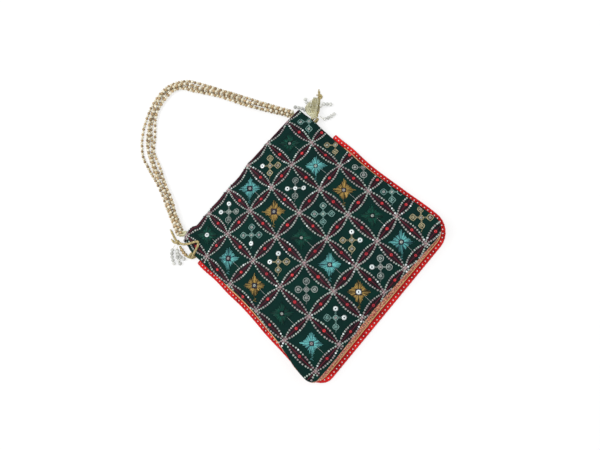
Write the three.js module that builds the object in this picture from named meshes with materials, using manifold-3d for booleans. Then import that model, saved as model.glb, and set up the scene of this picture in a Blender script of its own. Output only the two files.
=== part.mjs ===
import * as THREE from 'three';
import { mergeVertices } from 'three/addons/utils/BufferGeometryUtils.js';
import Module from 'manifold-3d';

// A potli bag lying slack on its back: +Z up off the table, +Y towards the mouth, +X to the bag's
// right as its front is seen. The origin is on the table, under the middle of the bag. Millimetres.

// Cloth body
const bagWidth = 188; // side seam to side seam at the mouth
const mouthY = 104.5; // the mouth's fold, in the bag's own frame
const frontBottomY = -95; // the seam where the front meets the bottom of the gusset
const backBottomY = -98.5; // the same seam on the back, which lies a little lower
const waistTuck = 2.5; // how far each side is drawn in halfway down
const bottomFlare = 4; // how far each side spreads at the bottom
const cornerRadius = 17; // the rounded bottom corners
const frontSlope = 0.028; // the cloth's rows rise to the right by this much
const backExtraSlope = 0.037; // the back's bottom has slipped a little further round
const clothThickness = 0.8; // embroidered cloth with its backing
const clearance = 0.3; // between pieces that touch
const puffHeight = 24; // top of the slack front over the table
const mouthHeight = 14; // top of the front at the mouth
const sideSeamZ = 5.2; // where front and back meet beside the mouth
const gussetTopZ = 16; // the front's seam on the gusset
const backSeamZ = 2.6; // top of the back's rim along the gusset

// Mouth hem, with the drawstring channel sewn in it
const hemEndY = 74; // the hem's lower end
const channelLowY = 78.5; // lower stitch line
const channelHighY = 91.5; // upper stitch line
const cordDiameter = 1.8;
const cordSteps = 78;
const channelHeight = cordDiameter + 2 * clearance;
const channelRunOut = 5; // how far past the cloth the channel is cut
const leftCordY = 83; // where each drawstring lies in the channel
const rightCordY = 87.4;

// Gusset, trim and lining
const leftTrimStartY = 76; // height up the left side where gusset and trim begin
const rightTrimStartY = 56;
const gussetRise = 30; // length over which the gusset opens from its pointed end
const sideBelly = 1; // how far the gusset bulges between its seams
const cornerBelly = 6.5; // the same at the lower left, where the bag sags
const backOverhang = 3; // how far the back's rim stands out past the front's
const trimWidth = 5;
const trimThickness = 1.3;
const liningThickness = 0.6;
const liningSlack = 0.9; // between lining and cloth
const liningInset = 8; // lining's sides inside the side seams
const liningBottomInset = 5;

// Handle
const strandDiameter = 3;
const strandSpacing = strandDiameter + clearance;
const strandSides = 8;
const strandSteps = 38;
const tableGap = 0.1; // under what lies on the table beside the bag

// Tassels
const crystalDiameter = 3.6;
const knotRadius = 3.6;

const wasm = await Module();
wasm.setup();

const point = (x, y, z) => new THREE.Vector3(x, y, z);
const lerp = THREE.MathUtils.lerp;
const smooth = THREE.MathUtils.smoothstep;

// A smooth value along the bag, through stations of [y, value] from the bottom up.
function through(stations) {
  const curve = new THREE.SplineCurve(stations.map(([y, value]) => new THREE.Vector2(y, value)));
  const last = stations.length - 1;
  return (y) => {
    const clamped = THREE.MathUtils.clamp(y, stations[0][0], stations[last][0]);
    let span = 0;
    while (span < last - 1 && clamped > stations[span + 1][0]) span += 1;
    const share = (clamped - stations[span][0]) / (stations[span + 1][0] - stations[span][0]);
    return curve.getPoint((span + share) / last).y;
  };
}

function meshGeometry(points, triangles) {
  const geometry = new THREE.BufferGeometry();
  geometry.setAttribute('position', new THREE.Float32BufferAttribute(points, 3));
  geometry.setIndex(triangles);
  return geometry;
}

// A closed solid between two surfaces over the same grid: outer(u, v) above inner(u, v).
function gridSolid(across, along, upper, lower) {
  const points = [];
  const triangles = [];
  const row = across + 1;
  const layer = row * (along + 1);
  for (const surface of [upper, lower]) {
    for (let j = 0; j <= along; j += 1) {
      for (let i = 0; i <= across; i += 1) {
        points.push(...surface(i / across, j / along).toArray());
      }
    }
  }
  const quad = (a, b, c, d) => triangles.push(a, b, c, a, c, d);
  for (let j = 0; j < along; j += 1) {
    for (let i = 0; i < across; i += 1) {
      const a = j * row + i;
      quad(a, a + row, a + row + 1, a + 1);
      quad(layer + a, layer + a + 1, layer + a + row + 1, layer + a + row);
    }
  }
  for (let j = 0; j < along; j += 1) {
    const left = j * row;
    const right = left + across;
    quad(left, layer + left, layer + left + row, left + row);
    quad(right + row, layer + right + row, layer + right, right);
  }
  for (let i = 0; i < across; i += 1) {
    const far = along * row + i;
    quad(i + 1, layer + i + 1, layer + i, i);
    quad(far, layer + far, layer + far + 1, far + 1);
  }
  return meshGeometry(points, triangles);
}

// A closed solid through a row of sections, each a ring of the same number of points.
function loft(sections) {
  const points = sections.flat().flatMap((p) => p.toArray());
  const ring = sections[0].length;
  const triangles = [];
  for (let j = 0; j < sections.length - 1; j += 1) {
    for (let i = 0; i < ring; i += 1) {
      const a = j * ring + i;
      const b = j * ring + ((i + 1) % ring);
      triangles.push(a, b, b + ring, a, b + ring, a + ring);
    }
  }
  const end = (sections.length - 1) * ring;
  for (let i = 1; i < ring - 1; i += 1) {
    triangles.push(0, i + 1, i, end, end + i, end + i + 1);
  }
  return meshGeometry(points, triangles);
}

function solid(geometry) {
  const bare = geometry.clone();
  bare.deleteAttribute('normal');
  bare.deleteAttribute('uv');
  const merged = mergeVertices(bare, 1e-4);
  return new wasm.Manifold(new wasm.Mesh({
    numProp: 3,
    vertProperties: new Float32Array(merged.attributes.position.array),
    triVerts: new Uint32Array(merged.index.array),
  }));
}

function geometryOf(manifold) {
  const mesh = manifold.getMesh();
  return meshGeometry(mesh.vertProperties, Array.from(mesh.triVerts));
}

// The bag's outline and heights. Every piece of the body is laid out from these.
const flareY = frontBottomY + 20;
const halfWidth = through([
  [backBottomY - 1, bagWidth / 2 + bottomFlare],
  [flareY, bagWidth / 2 + bottomFlare],
  [-42, bagWidth / 2 + bottomFlare / 4],
  [8, bagWidth / 2 - waistTuck],
  [60, bagWidth / 2],
  [mouthY, bagWidth / 2 - 0.5],
]);
const stackHeight = 2 * clothThickness + channelHeight;
const foldHeight = 2 * clothThickness;
const frontMiddleZ = through([
  [frontBottomY, gussetTopZ + clothThickness],
  [-82, puffHeight - 3],
  [-40, puffHeight],
  [20, puffHeight - 2],
  [60, mouthHeight + 3],
  [86, mouthHeight],
  [mouthY, mouthHeight - 1],
]);

// How far the gusset has opened at a height up one side: 0 where the seams meet, 1 at full width.
function opened(y, side) {
  const startY = side < 0 ? leftTrimStartY : rightTrimStartY;
  return 1 - smooth(y, startY - gussetRise, startY);
}

// Depth of everything that is sewn to the outer cloth: the folded hem, deeper at the channel.
function hemDepth(y) {
  const channel = smooth(y, hemEndY, channelLowY) * (1 - smooth(y, channelHighY, channelHighY + 3));
  return lerp(foldHeight, stackHeight, channel);
}

function layersDepth(y) {
  return y < hemEndY - 4 ? clothThickness : lerp(clothThickness, hemDepth(y), smooth(y, hemEndY - 4, hemEndY));
}

function frontEdgeZ(y, side) {
  const closed = sideSeamZ + clearance / 2 + layersDepth(y);
  return lerp(closed, gussetTopZ + clothThickness, opened(y, side));
}

function backEdgeZ(y, side) {
  const closed = sideSeamZ - clearance / 2 - layersDepth(y);
  return lerp(closed, backSeamZ - clothThickness, opened(y, side));
}

function cornerCut(y, bottomY) {
  const below = Math.max(0, bottomY + cornerRadius - y);
  return cornerRadius - Math.sqrt(Math.max(0, cornerRadius ** 2 - below ** 2));
}

// The front and the back, each as a plan outline, a slope and the height of its outer face.
const front = {
  bottomY: frontBottomY,
  inward: -1,
  width: (y) => halfWidth(y),
  slope: () => frontSlope,
  outerZ(u, y) {
    const side = Math.sign(u) || 1;
    const crown = 1 - Math.abs(u) ** 2.6;
    return lerp(frontEdgeZ(y, side), frontMiddleZ(y), crown);
  },
};
const back = {
  bottomY: backBottomY,
  inward: 1,
  width: (y) => halfWidth(y) + backOverhang * opened(y, 1),
  slope: (y) => frontSlope + backExtraSlope * smooth(-y, -60, -backBottomY),
  outerZ(u, y) {
    const side = Math.sign(u) || 1;
    const beside = smooth(Math.abs(u), 0.86, 1);
    const below = 1 - smooth(y, backBottomY, backBottomY + 14);
    return Math.max(beside, below) * backEdgeZ(y, side);
  },
};

function planPoint(panel, x, y, z) {
  return point(x, y + panel.slope(y) * x, z);
}

function panelPoint(panel, u, y, depth) {
  const x = u * (panel.width(y) - cornerCut(y, panel.bottomY));
  return planPoint(panel, x, y, panel.outerZ(u, y) + panel.inward * depth);
}

function rowsBetween(lowY, highY, count) {
  return Array.from({ length: count + 1 }, (_, i) => lerp(lowY, highY, i / count));
}

// Rows of the cloth: shared by front, back, gusset, trim and lining so that their seams meet.
const cornerDegrees = [0, 23, 45, 68, 90];
const sideRows = rowsBetween(frontBottomY + cornerRadius, hemEndY - 4, 13).slice(1);
const hemRows = [hemEndY, channelLowY, channelHighY, channelHighY + 3, mouthY];

function clothRows(panel) {
  const corner = [...cornerDegrees].reverse().map((degrees) => (
    panel.bottomY + cornerRadius * (1 - Math.sin(THREE.MathUtils.degToRad(degrees)))
  ));
  return [...corner, ...sideRows, ...hemRows];
}

function sheetSolid(panel, rows, across, outerDepth, innerDepth) {
  const at = (u, v, depthOf) => {
    const y = rows[Math.round(v * (rows.length - 1))];
    return panelPoint(panel, 2 * u - 1, y, depthOf(y));
  };
  const outer = (u, v) => at(u, 1 - v, outerDepth);
  const inner = (u, v) => at(u, 1 - v, innerDepth);
  const [upper, lower] = panel.inward < 0 ? [outer, inner] : [inner, outer];
  return gridSolid(across, rows.length - 1, upper, lower);
}

// One panel of cloth: a domed sheet whose mouth edge is folded inside and sewn down in two lines,
// which leaves an open channel between them for the drawstrings.
function makePanel(panel) {
  const acrossSteps = 16;
  const cloth = solid(sheetSolid(panel, clothRows(panel), acrossSteps, () => 0, () => clothThickness));
  const hem = solid(sheetSolid(panel, hemRows, acrossSteps, () => clothThickness / 2, hemDepth));
  const roof = clothThickness;
  const floor = clothThickness + channelHeight;
  const mid = (roof + floor) / 2;
  const section = [
    [channelLowY, mid], [channelLowY + 1.2, roof], [channelHighY - 1.2, roof],
    [channelHighY, mid], [channelHighY - 1.2, floor], [channelLowY + 1.2, floor],
  ];
  const ring = (u, beyond) => section.map(([y, depth]) => (
    panelPoint(panel, u, y, depth).add(point(beyond, 0, 0))
  ));
  const inside = rowsBetween(-1, 1, acrossSteps).map((u) => ring(u, 0));
  const sections = [ring(-1, -channelRunOut), ...inside, ring(1, channelRunOut)];
  const ordered = panel.inward > 0 ? sections : sections.map((ring) => [...ring].reverse());
  const channel = solid(loft(ordered));
  return geometryOf(cloth.add(hem).subtract(channel));
}

// Points round the gusset's seams, from the top of the left side, round the bottom, to the top of
// the right side. across is the plan position on one panel's rim, out its outward direction.
function rimStations() {
  const stations = [];
  const below = (startY) => sideRows.filter((y) => y < startY - 3);
  for (const y of below(leftTrimStartY).reverse()) stations.push({ side: -1, y });
  for (const turn of cornerDegrees) stations.push({ side: -1, turn });
  for (const along of rowsBetween(-1, 1, 16).slice(1, -1)) stations.push({ side: along, along });
  for (const turn of [...cornerDegrees].reverse()) stations.push({ side: 1, turn });
  for (const y of below(rightTrimStartY)) stations.push({ side: 1, y });
  return stations;
}

function rimPoint(panel, station, outward, z) {
  const side = Math.sign(station.side) || 1;
  const radius = cornerRadius + outward;
  const wide = (y) => panel.width(y) - cornerRadius;
  if (station.along !== undefined) {
    return planPoint(panel, station.along * wide(panel.bottomY), panel.bottomY - outward, z);
  }
  if (station.y !== undefined) {
    return planPoint(panel, side * (wide(station.y) + radius), station.y, z);
  }
  const angle = THREE.MathUtils.degToRad(station.turn);
  const centreY = panel.bottomY + cornerRadius;
  const y = centreY - radius * Math.sin(angle);
  const x = side * (wide(Math.max(y, panel.bottomY)) + radius * Math.cos(angle));
  return planPoint(panel, x, y, z);
}

const rimY = (station) => station.y ?? frontBottomY;

function bellyAt(station) {
  const sag = station.side < 0 ? smooth(-rimY(station), 20, 70) * (1 - smooth(station.along ?? -1, -1, -0.7)) : 0;
  return lerp(sideBelly, cornerBelly, sag) * opened(rimY(station), station.side);
}

// The brocade band that stands between the rims of front and back.
function makeGusset() {
  const inset = 0.4;
  const sections = rimStations().map((station) => {
    const y = rimY(station);
    const top = frontEdgeZ(y, station.side) - clothThickness - clearance;
    const low = backEdgeZ(y, station.side) + clothThickness + clearance;
    const belly = bellyAt(station);
    const between = (outward) => {
      const a = rimPoint(front, station, outward, 0);
      const b = rimPoint(back, station, outward, 0);
      return a.lerp(b, 0.5).setZ((top + low) / 2);
    };
    return [
      rimPoint(front, station, -inset, top),
      between(belly - inset),
      rimPoint(back, station, -inset, low),
      rimPoint(back, station, -inset - clothThickness, low),
      between(belly - inset - clothThickness),
      rimPoint(front, station, -inset - clothThickness, top),
    ];
  });
  return loft(sections);
}

// The red ring edging, as the flat tape that it fills, sewn along the back's rim.
function makeTrim() {
  const sections = rimStations().map((station) => {
    const middle = backEdgeZ(rimY(station), station.side) + clothThickness / 2;
    const low = Math.max(middle - trimThickness / 2, clearance);
    return [
      rimPoint(back, station, clearance, low + trimThickness),
      rimPoint(back, station, clearance + trimWidth, low + trimThickness),
      rimPoint(back, station, clearance + trimWidth, low),
      rimPoint(back, station, clearance, low),
    ];
  });
  return loft(sections);
}

// The satin lining: a pouch inside the cloth, sewn to the lower end of the hem and open there.
function makeLining() {
  const topY = hemEndY - clearance;
  const lens = (inset, gap, highY) => {
    const lowY = frontBottomY + liningBottomInset + inset;
    const corner = rowsBetween(lowY, sideRows[0], 4).slice(0, -1);
    const rows = [...corner, ...sideRows, highY];
    const half = (y) => halfWidth(y) - liningInset - inset - cornerCut(y, lowY);
    const surface = (panel, u, v) => {
      const y = rows[Math.round((1 - v) * (rows.length - 1))];
      const x = (2 * u - 1) * half(y);
      const share = x / (panel.width(y) - cornerCut(y, panel.bottomY));
      const z = panel.outerZ(share, y) + panel.inward * (clothThickness + liningSlack + gap);
      return planPoint(panel, x, y, z);
    };
    return solid(gridSolid(12, rows.length - 1, (u, v) => surface(front, u, v), (u, v) => surface(back, u, v)));
  };
  return geometryOf(lens(0, 0, topY).subtract(lens(liningThickness, liningThickness, topY + 2)));
}

// Cords and strands. Each route is a row of points chosen along the cord's real lie.
function tube(points, diameter, sides, steps) {
  const curve = new THREE.CatmullRomCurve3(points.map((p) => point(...p)), false, 'centripetal');
  const section = new THREE.Shape(Array.from({ length: sides }, (_, i) => {
    const angle = ((i + 0.5) * 2 * Math.PI) / sides;
    return new THREE.Vector2(Math.cos(angle), Math.sin(angle)).multiplyScalar(diameter / 2);
  }));
  return new THREE.ExtrudeGeometry(section, { steps, bevelEnabled: false, extrudePath: curve });
}

// The handle, the cords' legs and the tassels lie beside the mouth's corners. Their points are
// chosen for this corner, and move with the corner of the bag's own mouth.
const chosenCorner = new THREE.Vector2(94, 104.5);
const cornerShift = new THREE.Vector2(bagWidth / 2, mouthY).sub(chosenCorner);

function besideSeam(side, points) {
  return points.map(([x, y, z]) => [x + side * cornerShift.x, y, z]);
}

function besideMouth(points) {
  return points.map(([x, y, ...z]) => [x + cornerShift.x * (x / chosenCorner.x), y + cornerShift.y, ...z]);
}

// The handle's middle line over the table, from the left mouth corner round to the right one.
const handleRoute = besideMouth([
  [-91.5, 110.5], [-87.8, 120], [-82.6, 132], [-77, 146], [-71.4, 159], [-66, 173],
  [-60.5, 188], [-54, 202], [-45, 213], [-34, 223.5], [-21, 232], [-6, 238.5], [9, 240.8],
  [21, 236.8], [31, 227.5], [38, 215], [47.8, 194.6], [57.4, 172.9], [66.3, 151.1], [75.6, 131],
  [82, 117.5], [84.6, 111.6],
]);
const gatherLift = 2.4; // the strands come down to the table from the mouth over this height

// Each strand's lane in the bundle, in strand spacings to the right of the middle line: at the two
// ends, along the middle, and where the bundle loosens at the bend. The upper strands ride on others.
const looseStation = 7.6;
const looseReach = 2;
const strandLanes = [
  { end: -1, middle: -1.5, loose: -1.1 },
  { end: 0, middle: -0.5, loose: -0.4 },
  { end: 1, middle: 0.5, loose: 0.3 },
  { end: 0.5, middle: 1.5, loose: 0.8, ridesOn: 2 },
  { end: -0.5, middle: 0, loose: -0.1, ridesOn: 1 },
];

function laneAt(lane, i) {
  const last = handleRoute.length - 1;
  const bundled = smooth(i, 0, 4) * (1 - smooth(i, last - 5, last));
  const loosened = Math.exp(-(((i - looseStation) / looseReach) ** 2));
  return (lerp(lane.end, lane.middle, bundled) + lane.loose * loosened) * strandSpacing;
}

function strandPoints(lane) {
  const last = handleRoute.length - 1;
  return handleRoute.map(([x, y], i) => {
    const before = handleRoute[Math.max(i - 1, 0)];
    const after = handleRoute[Math.min(i + 1, last)];
    const direction = new THREE.Vector2(after[0] - before[0], after[1] - before[1]).normalize();
    const sideways = laneAt(lane, i);
    const under = lane.ridesOn === undefined ? strandSpacing : sideways - laneAt(strandLanes[lane.ridesOn], i);
    const rise = Math.sqrt(Math.max(0, strandSpacing ** 2 - under ** 2));
    const lift = gatherLift * (1 - smooth(i, 0, 3) * (1 - smooth(i, last - 3, last)));
    const z = strandDiameter / 2 + tableGap + rise + lift;
    return [x + direction.y * sideways, y - direction.x * sideways, z];
  });
}

// A closed solid through oval sections: each has a centre, half its width and half its height.
function ovalLoft(ovals) {
  const sides = 12;
  const last = ovals.length - 1;
  return loft(ovals.map(({ at, wide, high, facing }, j) => {
    const before = ovals[Math.max(j - 1, 0)].at;
    const after = ovals[Math.min(j + 1, last)].at;
    const direction = facing ?? new THREE.Vector2(after[0] - before[0], after[1] - before[1]).normalize();
    return Array.from({ length: sides }, (_, i) => {
      const angle = (-i * 2 * Math.PI) / sides;
      const sideways = wide * Math.cos(angle);
      return point(at[0] + direction.y * sideways, at[1] - direction.x * sideways, at[2] + high * Math.sin(angle));
    });
  }));
}

// Thread gathers: each end of the handle is bound, and sewn inside a corner of the mouth. The wide
// end faces the ends of the strands.
const gatherGap = 0.8;

function makeGather(end, next, sewn) {
  const facing = new THREE.Vector2(next[0] - end[0], next[1] - end[1]).normalize();
  const height = gatherLift + strandSpacing * 0.93;
  const at = [end[0] - facing.x * gatherGap, end[1] - facing.y * gatherGap, height];
  const places = besideMouth(sewn.map((oval) => oval.at));
  const inner = sewn.map((oval, i) => ({ ...oval, at: places[i] }));
  return ovalLoft([...inner, { at, wide: strandSpacing * 1.4, high: strandSpacing * 0.8, facing }]);
}

const gatherLeft = [
  { at: [-81.5, 95, 4.9], wide: 1.5, high: 1.5 },
  { at: [-83.6, 100.5, 4.7], wide: 2, high: 1.4 },
  { at: [-87.6, 105.6, 4.9], wide: 3.2, high: 1.9 },
];
const gatherRight = [
  { at: [79.5, 98, 4.9], wide: 1.5, high: 1.5 },
  { at: [81.2, 104.6, 4.8], wide: 2, high: 1.5 },
  { at: [83.4, 108, 4.9], wide: 2.8, high: 1.8 },
];

// Drawstrings: each goes through the front's channel, round the far side and back through the
// back's channel, so that both its ends come out on its own side.
const channelDepth = clothThickness + channelHeight / 2;
const turnReach = 3.4; // how far the turn at the far side stands out

function channelRun(panel, cordY, fromSide) {
  const run = [-1, -0.97, -0.9, -0.75, -0.5, -0.25, 0, 0.25, 0.5, 0.75, 0.9, 0.97, 1]
    .map((u) => panelPoint(panel, u, cordY, channelDepth).toArray());
  return fromSide < 0 ? run : run.reverse();
}

function drawstringPoints(cordY, side, frontLeg, backLeg) {
  const over = channelRun(front, cordY, side);
  const under = channelRun(back, cordY, -side);
  const turn = (from, reach, z) => [from[0] - side * reach, from[1], z];
  const [top, low] = [over.at(-1), under[0]];
  const turned = [
    turn(top, turnReach, top[2]),
    turn(top, turnReach + 2.1, (top[2] + low[2]) / 2),
    turn(low, turnReach, low[2]),
  ];
  return [...frontLeg, ...over, ...turned, ...under, ...backLeg];
}

const leftFrontLeg = besideSeam(-1, [
  [-98.7, 102.4, 7], [-96.4, 97.6, 10.2], [-91.5, 92.8, 12.1], [-86.2, 89.6, 12.8],
  [-82.9, 86.8, 13], [-85.2, 84, 12.8], [-89.5, 82.6, 12.3], [-94, 81.6, 11.6],
  [-97.6, 80.8, 10.6], [-99.4, 80.4, 8.9], [-97.6, 80.5, 7.5],
]);
const leftBackLeg = besideSeam(-1, [
  [-97.4, 80.6, 2.8], [-101, 82, 2.3], [-103.6, 86.5, 2.2], [-104, 91.5, 2.2],
  [-103.2, 96.8, 2.4], [-101.6, 101.2, 3.4],
]);
const rightFrontLeg = besideSeam(1, [[97.9, 90.6, 7]]);
const rightBackLeg = besideSeam(1, [[97.7, 90.4, 3.6]]);

// Knots: a lump of tied cord with its cut ends.
const leftKnotAt = [-100.4, 105.2, 4.4];
const rightKnotAt = [101.8, 90.6, 5.2];
const leftTails = [
  [[-100.4, 105.2, 3.4], [-100.6, 110, 1.6], [-99.4, 115, 1.2], [-97.4, 121.8, 1.2]],
  [[-101.4, 106, 3.4], [-103.6, 109.5, 1.6], [-103.6, 113.4, 1.2]],
];
const rightTails = [
  [[103, 89.4, 4.4], [107, 88.6, 2.6], [112.6, 90.4, 1.4], [118, 95, 1.2], [119.8, 101, 1.2], [124.2, 108.4, 1.2]],
];

function makeKnot(side, centre, tails) {
  const [[x, y, z]] = besideSeam(side, [centre]);
  const lump = new THREE.SphereGeometry(knotRadius, 14, 9);
  lump.scale(1, 0.9, 0.85);
  lump.translate(x, y, z);
  const ends = tails.map((route) => (
    solid(tube(besideSeam(side, route), cordDiameter, 8, (route.length - 1) * 2))
  ));
  return geometryOf(ends.reduce((knot, end) => knot.add(end), solid(lump)));
}

// Gold beads strung on the left drawstring's outer leg.
const cordBeadHole = cordDiameter + 3 * clearance;
const cordBeadDiameter = 4;
const cordBeadLength = 2.6;

function makeCordBead(route, share) {
  const curve = new THREE.CatmullRomCurve3(route.map((p) => point(...p)), false, 'centripetal');
  const [outer, inner, half] = [cordBeadDiameter / 2, cordBeadHole / 2, cordBeadLength / 2];
  const profile = [[inner, -half], [outer * 0.8, -half], [outer, 0], [outer * 0.8, half], [inner, half], [inner, -half]];
  const bead = new THREE.LatheGeometry(profile.map(([r, h]) => new THREE.Vector2(r, h)), 12);
  const turn = new THREE.Quaternion().setFromUnitVectors(point(0, 1, 0), curve.getTangentAt(share));
  bead.applyQuaternion(turn);
  bead.translate(...curve.getPointAt(share).toArray());
  return bead;
}

// Strings of crystal beads that hang from the knots.
const crystalRoutes = {
  crystal_strand_left_1: [[-104.4, 106.4, 3], [-109.5, 105.6, 2.1], [-115.3, 101, 2], [-120.5, 91.4, 2]],
  crystal_strand_left_2: [[-104.2, 103, 3.2], [-108, 100.2, 2.1], [-112.1, 95.6, 2], [-115.4, 86, 2]],
  crystal_strand_left_3: [[-104.4, 101.4, 7.4], [-107.2, 97.6, 6.4], [-109.4, 92.4, 3], [-108, 86.6, 2]],
  crystal_strand_right_1: [[100.6, 94.6, 2.6], [99, 101, 2], [97.2, 108, 2], [92.6, 116.4, 2]],
  crystal_strand_right_2: [[104.3, 94, 2.6], [104.4, 101, 2], [105, 107.4, 2], [107.9, 114.2, 2]],
  crystal_strand_right_3: [[106.2, 91.6, 4.8], [110.5, 93.4, 4.8], [115.5, 93, 4.4], [119.2, 89.4, 2.6], [122, 86, 2]],
  crystal_strand_right_4: [[103.6, 87, 3.8], [104.2, 82, 2.2], [108.4, 79, 2], [117.2, 76.8, 2]],
};

// The fan of gold thread that covers the right knot.
const threadFan = [
  { at: [98.4, 90.6, 10.1], wide: 2.2, high: 0.9 },
  { at: [101.6, 94.8, 8.6], wide: 4.6, high: 1.2 },
  { at: [105.2, 99.2, 6.2], wide: 7, high: 1.3 },
  { at: [108.6, 103.4, 4.6], wide: 8.5, high: 1 },
];

const clothColours = { green: 0x113a35, brocade: 0xb98250, red: 0xc92330, satin: 0x3a1420 };
const metalColours = { gold: 0xb99a5c, cord: 0xcdb879, crystal: 0xdcdcdc };

function material(color, roughness, metalness = 0) {
  return new THREE.MeshStandardMaterial({ color, roughness, metalness });
}

const bag = new THREE.Group();

function addPiece(name, geometry, finish) {
  const mesh = new THREE.Mesh(geometry, finish);
  mesh.name = name;
  bag.add(mesh);
}

addPiece('front_panel', makePanel(front), material(clothColours.green, 0.8));
addPiece('back_panel', makePanel(back), material(clothColours.green, 0.8));
addPiece('gusset_band', makeGusset(), material(clothColours.brocade, 0.5, 0.3));
addPiece('scallop_trim', makeTrim(), material(clothColours.red, 0.7));
addPiece('lining_pouch', makeLining(), material(clothColours.satin, 0.4));

strandLanes.forEach((lane, i) => {
  const geometry = tube(strandPoints(lane), strandDiameter, strandSides, strandSteps);
  addPiece(`handle_strand_${i + 1}`, geometry, material(metalColours.gold, 0.35, 0.6));
});
const cordFinish = material(metalColours.cord, 0.6, 0.2);
const [leftEnd, leftNext] = handleRoute;
const [rightNext, rightEnd] = handleRoute.slice(-2);
addPiece('handle_gather_left', makeGather(leftEnd, leftNext, gatherLeft), cordFinish.clone());
addPiece('handle_gather_right', makeGather(rightEnd, rightNext, gatherRight), cordFinish.clone());

const leftCord = drawstringPoints(leftCordY, -1, leftFrontLeg, leftBackLeg);
const rightCord = drawstringPoints(rightCordY, 1, rightFrontLeg, rightBackLeg);
addPiece('drawstring_left', tube(leftCord, cordDiameter, 8, cordSteps), cordFinish.clone());
addPiece('drawstring_right', tube(rightCord, cordDiameter, 8, cordSteps), cordFinish.clone());
addPiece('drawstring_knot_left', makeKnot(-1, leftKnotAt, leftTails), cordFinish.clone());
addPiece('drawstring_knot_right', makeKnot(1, rightKnotAt, rightTails), cordFinish.clone());
[0.53, 0.67, 0.81].forEach((share, i) => {
  addPiece(`cord_bead_${i + 1}`, makeCordBead(leftBackLeg, share), material(metalColours.gold, 0.3, 0.8));
});
for (const [name, route] of Object.entries(crystalRoutes)) {
  const side = name.includes('left') ? -1 : 1;
  addPiece(name, tube(besideSeam(side, route), crystalDiameter, 8, 7), material(metalColours.crystal, 0.1));
}
const fanPlaces = besideSeam(1, threadFan.map((oval) => oval.at));
const fan = threadFan.map((oval, i) => ({ ...oval, at: fanPlaces[i] }));
addPiece('thread_tassel', ovalLoft(fan), material(metalColours.cord, 0.5, 0.3));

export default bag;
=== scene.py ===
import bpy
import math
import random
from bisect import bisect_right
from mathutils import Matrix, Vector


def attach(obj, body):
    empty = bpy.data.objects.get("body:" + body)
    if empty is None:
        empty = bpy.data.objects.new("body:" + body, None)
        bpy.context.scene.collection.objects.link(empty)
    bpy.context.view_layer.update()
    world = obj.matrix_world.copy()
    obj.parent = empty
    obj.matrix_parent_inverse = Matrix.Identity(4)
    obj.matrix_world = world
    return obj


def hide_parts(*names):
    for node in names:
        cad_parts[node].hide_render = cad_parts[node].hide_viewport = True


# An embroidered drawstring pouch lying on its back: +Z up off the table, +Y towards the mouth,
# +X to the right as its front is seen. Everything is in metres.
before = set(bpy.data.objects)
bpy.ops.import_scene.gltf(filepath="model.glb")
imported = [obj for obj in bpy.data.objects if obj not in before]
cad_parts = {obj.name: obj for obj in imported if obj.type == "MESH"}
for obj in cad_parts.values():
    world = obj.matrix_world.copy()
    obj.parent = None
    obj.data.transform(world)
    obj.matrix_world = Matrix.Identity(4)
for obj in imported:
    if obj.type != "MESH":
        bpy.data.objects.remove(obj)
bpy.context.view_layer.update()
chance = random.Random(8)
upward = Vector((0, 0, 1))


def mix(a, b, share):
    return a + (b - a) * share


def clamp(value, low, high):
    return max(low, min(high, value))


def smooth(value, low, high):
    t = clamp((value - low) / (high - low), 0, 1)
    return t * t * (3 - 2 * t)


def paint(red, green, blue):  # a colour given as 0 to 255, made linear
    def linear(c):
        c /= 255
        return c / 12.92 if c <= 0.04045 else ((c + 0.055) / 1.055) ** 2.4
    return (linear(red), linear(green), linear(blue), 1)


def addObject(name, data):
    made = bpy.data.objects.new(name, data)
    bpy.context.scene.collection.objects.link(made)
    return made


# Camera: looks down on the front, turned as the photo is
camera = {
    "place": (0.00382, -0.0878, 0.5148),
    "right": (0.6858, -0.7119, -0.1513),
    "up": (0.7278, 0.6708, 0.1426),
    "lens": 30.0,  # millimetres, as is the sensor's width
    "sensor": 36.0,
    "nearest": 0.01,
    "farthest": 20.0,
}


def makeCamera():
    data = bpy.data.cameras.new("camera")
    data.lens = camera["lens"]
    data.sensor_width = camera["sensor"]
    data.clip_start = camera["nearest"]
    data.clip_end = camera["farthest"]
    eye = addObject("camera", data)
    right = Vector(camera["right"]).normalized()
    up = (Vector(camera["up"]) - right * right.dot(Vector(camera["up"]))).normalized()
    turn = Matrix((right, up, right.cross(up))).transposed()
    eye.matrix_world = Matrix.Translation(camera["place"]) @ turn.to_4x4()
    bpy.context.scene.camera = eye


makeCamera()
print("camera placed")


# Piles: loose points and faces that become one piece. Each face has a finish number, and each
# point a tint from 0 to 1 that lets threads and sequins differ a little. Places are along and
# across the cloth, for woven patterns.
def newPile():
    return {"points": [], "faces": [], "finishes": [], "tints": [], "places": []}


def addTo(pile, points, faces, finish=0, tint=0.5, places=()):
    first = len(pile["points"])
    pile["points"].extend(points)
    pile["tints"].extend([tint] * len(points))
    pile["places"].extend(places)
    for face in faces:
        pile["faces"].append([first + i for i in face])
        pile["finishes"].append(finish)


def gridFaces(rows, columns, closed=False):  # four-sided faces between rows of points
    faces = []
    for j in range(rows - 1):
        for i in range(columns if closed else columns - 1):
            a, b = j * columns + i, j * columns + (i + 1) % columns
            faces.append((a, b, b + columns, a + columns))
    return faces


def capped(rings, sides):  # the faces over rings of points, with both ends closed
    last = (rings - 1) * sides
    return gridFaces(rings, sides, True) + [tuple(reversed(range(sides))), tuple(range(last, last + sides))]


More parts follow.
